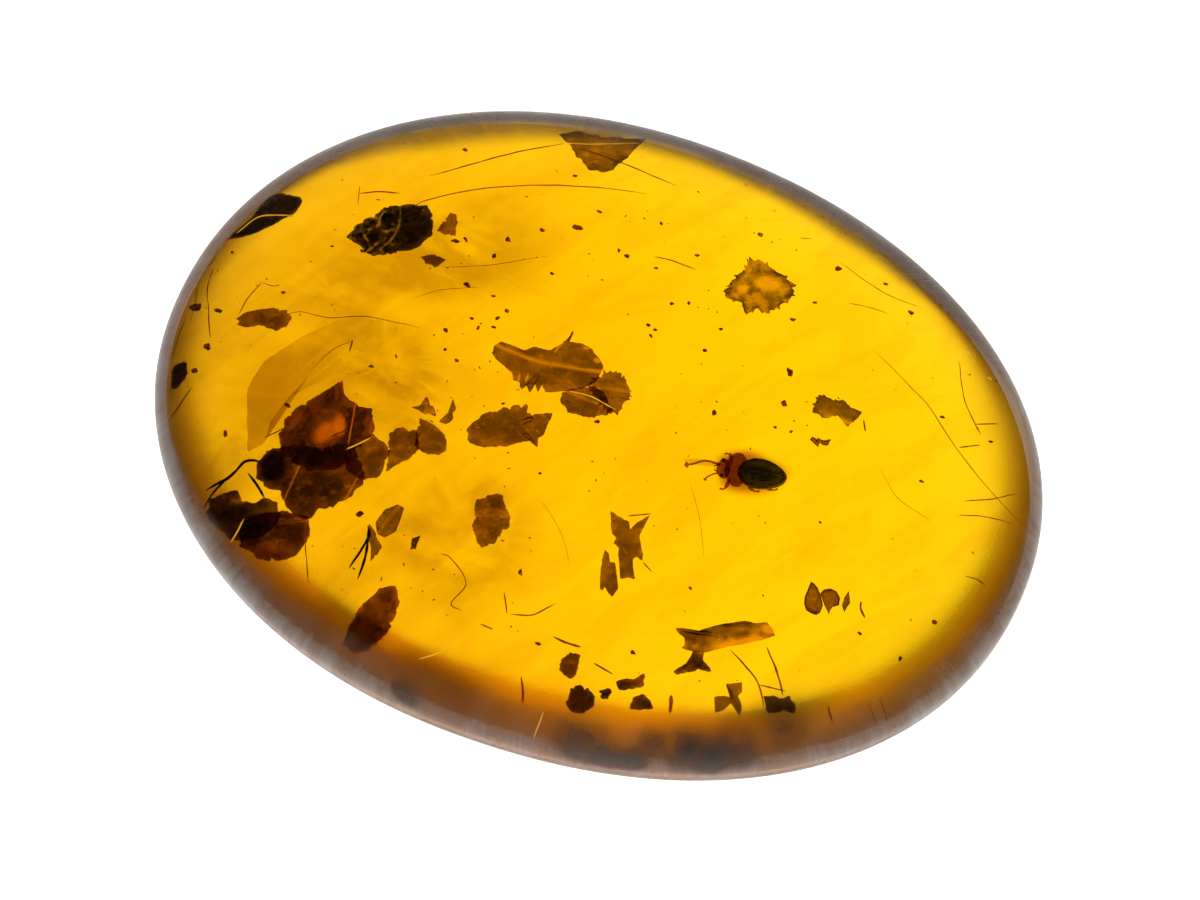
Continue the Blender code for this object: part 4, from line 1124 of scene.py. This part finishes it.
# Browner drifts of old flow in the resin: outline as picture places, lift above the layer, strength
DRIFTS = (
    (((338, 345), (352, 313), (400, 312), (440, 340), (456, 385), (420, 425), (372, 402), (346, 380)), 1.6,
      0.55),
    (((200, 470), (196, 400), (230, 330), (300, 280), (380, 270), (470, 300), (520, 380), (480, 450),
      (400, 520), (300, 560), (230, 520)), -1.6, 0.38),
    (((240, 300), (300, 230), (400, 190), (520, 180), (600, 220), (560, 300), (440, 330), (320, 330)), -1.9,
      0.50),
    (((360, 470), (430, 440), (520, 450), (560, 500), (540, 600), (470, 660), (400, 620), (350, 560)), -1.2,
      0.40),
)


DRIFT_BROWN, DRIFT_TINTS = (0.10, 0.06, 0.004), ((0.0, (1.0, 1.0, 1.0)), (1.0, (0.72, 0.62, 0.3)))
DRIFT_TURN, DRIFT_STRETCH = LAYER_TURN + math.radians(-30), 2.5


def drift_material(name, strong):
    """A film that browns what is behind it in drawn-out clouds, fading out towards its edge."""
    material, shader, output, node, link = blank(name)
    drawn = laid(node, link, object_place(node), DRIFT_TURN, (DRIFT_STRETCH, 1))
    cloud = spread(node, link, noise(node, link, drawn, 3.0, 3.0, 0.55, 0.6), 0.35, 0.62)
    fade = spread(node, link, attribute(node, "edge"), 0.35, 1.0, strong, 0.0)
    veil = times(node, link, fade, cloud, clamp=True)
    dress(shader, DRIFT_BROWN, 0.9, 0.0)
    tint = ramp(node, link, veil, DRIFT_TINTS)
    see_through(node, link, shader, output, times(node, link, veil, 0.08), tint)
    return material


def make_drifts():
    """Thin films of older flow, lying one over another in the blunt end."""
    for number, (places, lift, strong) in enumerate(DRIFTS):
        rng, name = np.random.default_rng(40 + number), f"drift_{number}"
        surface, attributes = torn_flake(plate_at(places, lift, 0.03), 0.3, 0.0, 0.35, rng, steps=14)
        make_piece(name, surface, drift_material(name, strong), attributes)


# ---------------------------------------------------------------- the beetle

# Where the beetle lies, and how high the crown of its wing cases is above its own origin
BEETLE_AT, BEETLE_TURN, BEETLE_TOP = (7.3, -0.2), LAYER_TURN + math.radians(-8), 0.50
# The beetle's parts on its own axes, head towards -u. Round parts: middle, half sizes, rows, columns
WING_CASES = ((0, 0, 0), (1.05, 0.70, 0.50), 60, 96)
WINGS_BACK = (0.45, 0, 0)
BODY = ((0.5, 0, -0.12), (1.0, 0.6, 0.38), 20, 32)
SHIELD = ((-0.66, 0.06, -0.02), (0.50, 0.80, 0.38), 30, 48)
HEAD = ((-1.20, 0.04, -0.06), (0.30, 0.46, 0.26), 24, 36)
HEAD_AXIS, EYE_OUT = 0.04, 0.36
JAW = ((-1.42, 0.14, -0.1), (-1.56, 0.12, -0.1), (-1.60, 0.03, -0.1))
# Curved parts: the points of each leg, and those, the thickness and the club of each feeler
LEGS = (
    ((-0.90, 0.35, -0.2), (-0.98, 0.72, -0.15), (-1.10, 0.84, -0.28), (-1.24, 0.82, -0.3)),
    ((-0.10, 0.42, -0.2), (0.05, 0.68, -0.15), (0.26, 0.74, -0.3), (0.42, 0.70, -0.3)),
    ((0.50, 0.42, -0.2), (0.80, 0.58, -0.15), (1.02, 0.56, -0.3), (1.16, 0.48, -0.3)),
)
LEG_THICK = 0.075
FEELERS = (
    (((-1.40, 0.20, 0.0), (-2.0, 0.24, 0.1), (-2.5, 0.02, 0.1), (-2.82, -0.08, 0.1)), 0.055, 2.2),
    (((-1.40, -0.20, 0.0), (-1.66, -0.34, 0.0), (-1.84, -0.50, 0.05), (-1.92, -0.64, 0.05)), 0.04, 1.6),
)
# Clouds of stained resin round the body: middle, half sizes, strength
STAINS = (
    ((-0.05, 0.10, -0.30), (1.85, 1.27), 0.8),
    ((-0.35, 0.08, -0.12), (1.45, 1.12), 0.6),
    ((-2.1, 0.16, 0.05), (1.0, 0.20), 0.45),
)


def beetle_place(surface):
    """From the beetle's own axes to the stone's."""
    points, faces = surface
    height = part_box("beetle")[1][2] / MM - BEETLE_TOP
    return turned(points, BEETLE_TURN) + np.array((*BEETLE_AT, height)), faces


def wing_cases():
    """An egg pointed behind, with a groove between the cases and fine lengthwise striae."""
    points, faces = bead(*WING_CASES, shape=lambda s: 1 - 0.16 * s - 0.10 * s**2)
    turn = np.arctan2(points[:, 2], points[:, 1])
    upper = np.clip(np.sin(turn), 0, 1)
    groove = 0.07 * np.exp(-((points[:, 1] / 0.05) ** 2)) * upper
    striae = 0.018 * (0.5 + 0.5 * np.cos(turn * 22)) * upper
    points = points * (1 - (groove + striae))[:, None] ** np.array((0, 1, 1))
    return points + WINGS_BACK, faces


def leg(points):
    """A thigh that swells and a shin that narrows, then a foot of small joints."""
    path = smooth_path(points, 40)
    share = np.linspace(0, 1, 40)
    thigh = np.exp(-(((share - 0.28) / 0.2) ** 2))
    foot = 0.25 * np.abs(np.sin(share * 60)) * (share > 0.8)
    return tube(path, LEG_THICK * (0.42 + 0.75 * thigh + foot), 10)


def feeler(points, thick, club):
    """Beads along a curve, the last three fatter where the feeler ends in a club."""
    path = smooth_path(points, 66)
    share = np.linspace(0, 1, 66)
    joints = 0.72 + 0.28 * np.abs(np.sin(share * math.pi * 11))
    fat = 1 + club * np.exp(-(((share - 0.93) / 0.06) ** 2))
    return tube(path, thick * joints * fat, 12)


def jaw(side):
    """A short curved rod that tapers to a point."""
    points = [(u, HEAD_AXIS + side * v, w) for u, v, w in JAW]
    return tube(smooth_path(points, 12), np.linspace(0.05, 0.01, 12), 8)


def stain_disc(middle, half, most, rows=14, cols=48):
    """A flat disc of rings and, for each point, how strong the stain is there: a smooth fall to nothing."""
    share = np.linspace(0, 1, rows + 1)[1:, None]
    turn = np.linspace(0, math.tau, cols, endpoint=False)
    uneven = 1 + 0.06 * np.sin(3 * turn + 1) + 0.04 * np.sin(5 * turn)
    ring = np.stack((share * np.cos(turn) * half[0] * uneven, share * np.sin(turn) * half[1] * uneven,
                     0 * share * turn), -1)
    points = np.concatenate((ring.reshape(-1, 3), [(0, 0, 0)])) + middle
    fan = [(i, (i + 1) % cols, len(points) - 1) for i in range(cols)]
    strength = 1 - eased((share - 0.55) / 0.45)
    return (points, ring_faces(rows, cols) + fan), np.append(most * np.repeat(strength, cols), most)


def make_beetle():
    """Wing cases, body, eyes, shield, head, jaws, legs and feelers, with the stains round them, as one.

    The attribute front is 1 from the shield on, and fade is how strong the stain is in its discs and 1
    everywhere else.
    """
    eyes = [bead((-1.24, HEAD_AXIS + side * EYE_OUT, 0.02), (0.10, 0.10, 0.10), 12, 16) for side in (1, -1)]
    dark = [wing_cases(), bead(*BODY), *eyes]
    legs = [leg([(u, side * v, w) for u, v, w in points]) for points in LEGS for side in (1, -1)]
    brown = [bead(*SHIELD, shape=lambda s: 1 + 0.10 * s), bead(*HEAD, shape=lambda s: 1 + 0.12 * s),
             *(jaw(side) for side in (1, -1)), *legs, *(feeler(*each) for each in FEELERS)]
    veils, fades = zip(*(stain_disc(*disc) for disc in STAINS))
    parts = [beetle_place(part) for part in (*dark, *brown, *veils)]
    sizes = [len(points) for points, _ in parts]
    count, first = sum(sizes), sum(sizes[:len(dark)])
    shares = {"front": (np.arange(count) >= first).astype(float),
              "fade": np.concatenate((np.ones(count - sum(map(len, fades))), *fades))}
    piece = make_piece("fine_beetle", joined(parts), beetle_material(), shares)
    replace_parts(piece, "beetle")


WING_SHADES = ((0.3, (0.035, 0.055, 0.065)), (0.7, (0.075, 0.11, 0.13)))
FRONT_SHADES = ((0.3, (0.12, 0.04, 0.005)), (0.7, (0.32, 0.12, 0.015)))
STAIN_TINTS = ((0.0, (1.0, 1.0, 1.0)), (0.9, (0.84, 0.54, 0.22)))


def beetle_material():
    """Blue-black wing cases; red-brown, slightly see-through head, shield and legs; clear brown stains."""
    material, shader, output, node, link = blank("beetle_chitin")
    front, fade = attribute(node, "front"), attribute(node, "fade")
    grain = noise(node, link, object_place(node), 0.15)
    wing, brown = (ramp(node, link, grain, shades) for shades in (WING_SHADES, FRONT_SHADES))
    link(blended(node, link, front, wing, brown), shader.inputs["Base Color"])
    dress(shader, rough=0.3)
    solid = spread(node, link, front, 0.0, 1.0, 1.0, 0.36)
    solid = times(node, link, solid, spread(node, link, fade, 0.0, 1.0))
    see_through(node, link, shader, output, solid, ramp(node, link, fade, STAIN_TINTS))
    return material


# The rods of the rootlet and of the bristles, as lines like the hairs
ROOTLET = (
    (((261, 462), (253, 460), (244, 462), (235, 472), (227, 479), (216, 484), (206, 490)), 0.0, 0.07),
    (((227, 479), (214, 492), (203, 509)), 0.0, 0.05),
    (((248, 473), (256, 484), (264, 498)), 0.1, 0.06),
)
BRISTLES = (
    (((368, 525), (369, 535), (360, 552), (349, 568)), 0.0, 0.06),
    (((369, 533), (367, 549), (363, 564), (358, 579)), 0.1, 0.055),
)


def make_rods():
    """The rootlet and the bristles, finer and hairier than the plain rods of the frame."""
    black = root_material()
    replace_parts(make_lines("fine_rootlet", ROOTLET, black, 8), "rootlet")
    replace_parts(make_lines("fine_bristles", BRISTLES, black, 8), "bristle_pair")


# ---------------------------------------------------------------- floor, light and camera

FLOOR_SIZE, FLOOR_DROP, FLOOR_GREY, FLOOR_GLOW = 3.0, 0.02 * MM, (0.8, 0.8, 0.8), 1.3
# How bright the surround is at two heights of the way out, from level (0) to straight up (1)
LOW_WAY, LOW_LIGHT, HIGH_WAY, HIGH_LIGHT = 0.05, 0.55, 0.6, 0.035
NEAREST_SEEN = 0.01


def make_stage():
    """A pale floor, glowing softly, a hair's breadth under the stone."""
    bpy.ops.mesh.primitive_plane_add(size=FLOOR_SIZE, location=(0, 0, -FLOOR_DROP))
    floor = bpy.context.object
    floor.name = "floor"
    material, shader, _, _, _ = blank("pale_floor")
    dress(shader, FLOOR_GREY, 0.9, 0.0)
    shader.inputs["Emission Color"].default_value = (1, 1, 1, 1)
    shader.inputs["Emission Strength"].default_value = FLOOR_GLOW
    material.cycles.emission_sampling = "NONE"
    floor.data.materials.append(material)


def make_world():
    """Soft light: dim overhead and a little brighter near the horizon, by a smooth step."""
    world = bpy.data.worlds.new("soft_room")
    bpy.context.scene.world = world
    world.use_nodes = True
    tree = world.node_tree
    place = tree.nodes.new("ShaderNodeTexCoord")
    parts = tree.nodes.new("ShaderNodeSeparateXYZ")
    band = tree.nodes.new("ShaderNodeMapRange")
    band.interpolation_type = "SMOOTHSTEP"
    values = ("From Min", LOW_WAY), ("From Max", HIGH_WAY), ("To Min", LOW_LIGHT), ("To Max", HIGH_LIGHT)
    for key, value in values:
        band.inputs[key].default_value = value
    tree.links.new(place.outputs["Generated"], parts.inputs[0])
    tree.links.new(parts.outputs["Z"], band.inputs["Value"])
    tree.links.new(band.outputs["Result"], tree.nodes["Background"].inputs["Strength"])
    world.cycles.sampling_method = "NONE"


def make_camera():
    """The view's own lens, at its distance from the target, turned to it."""
    data = bpy.data.cameras.new("camera")
    data.lens = LENS
    data.sensor_width = SENSOR
    data.clip_start = NEAREST_SEEN
    camera = bpy.data.objects.new("camera", data)
    bpy.context.scene.collection.objects.link(camera)
    camera.location = (VIEW_TARGET + VIEW_BACK * VIEW_DISTANCE) * MM
    camera.rotation_euler = (math.pi / 2 - VIEW_ELEVATION, 0, VIEW_AZIMUTH)
    bpy.context.scene.camera = camera
    bpy.context.scene.view_settings.view_transform = "Standard"


# ---------------------------------------------------------------- all of it

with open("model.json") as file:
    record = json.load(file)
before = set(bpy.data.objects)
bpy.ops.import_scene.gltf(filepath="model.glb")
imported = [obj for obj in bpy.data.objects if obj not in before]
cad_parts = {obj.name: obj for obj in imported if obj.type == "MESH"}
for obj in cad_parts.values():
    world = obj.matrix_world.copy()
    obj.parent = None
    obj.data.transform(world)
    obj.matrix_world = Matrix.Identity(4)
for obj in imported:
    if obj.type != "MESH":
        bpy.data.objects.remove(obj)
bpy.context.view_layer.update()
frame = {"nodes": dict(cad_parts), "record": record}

make_amber()
make_rim_wear_and_painted_light()
make_scraps()
make_flow_sheet()
make_rods()
make_beetle()
hair = hair_material()
make_lines("hairs", DARK_HAIRS, hair)
make_lines("painted_glint_threads", GLINT_THREADS, painted_glint_material())
make_crumbs(scrap_material("crumb_film", CRUMB_LOOK))
make_dust(hair)
make_drifts()
make_stage()
make_world()
make_camera()
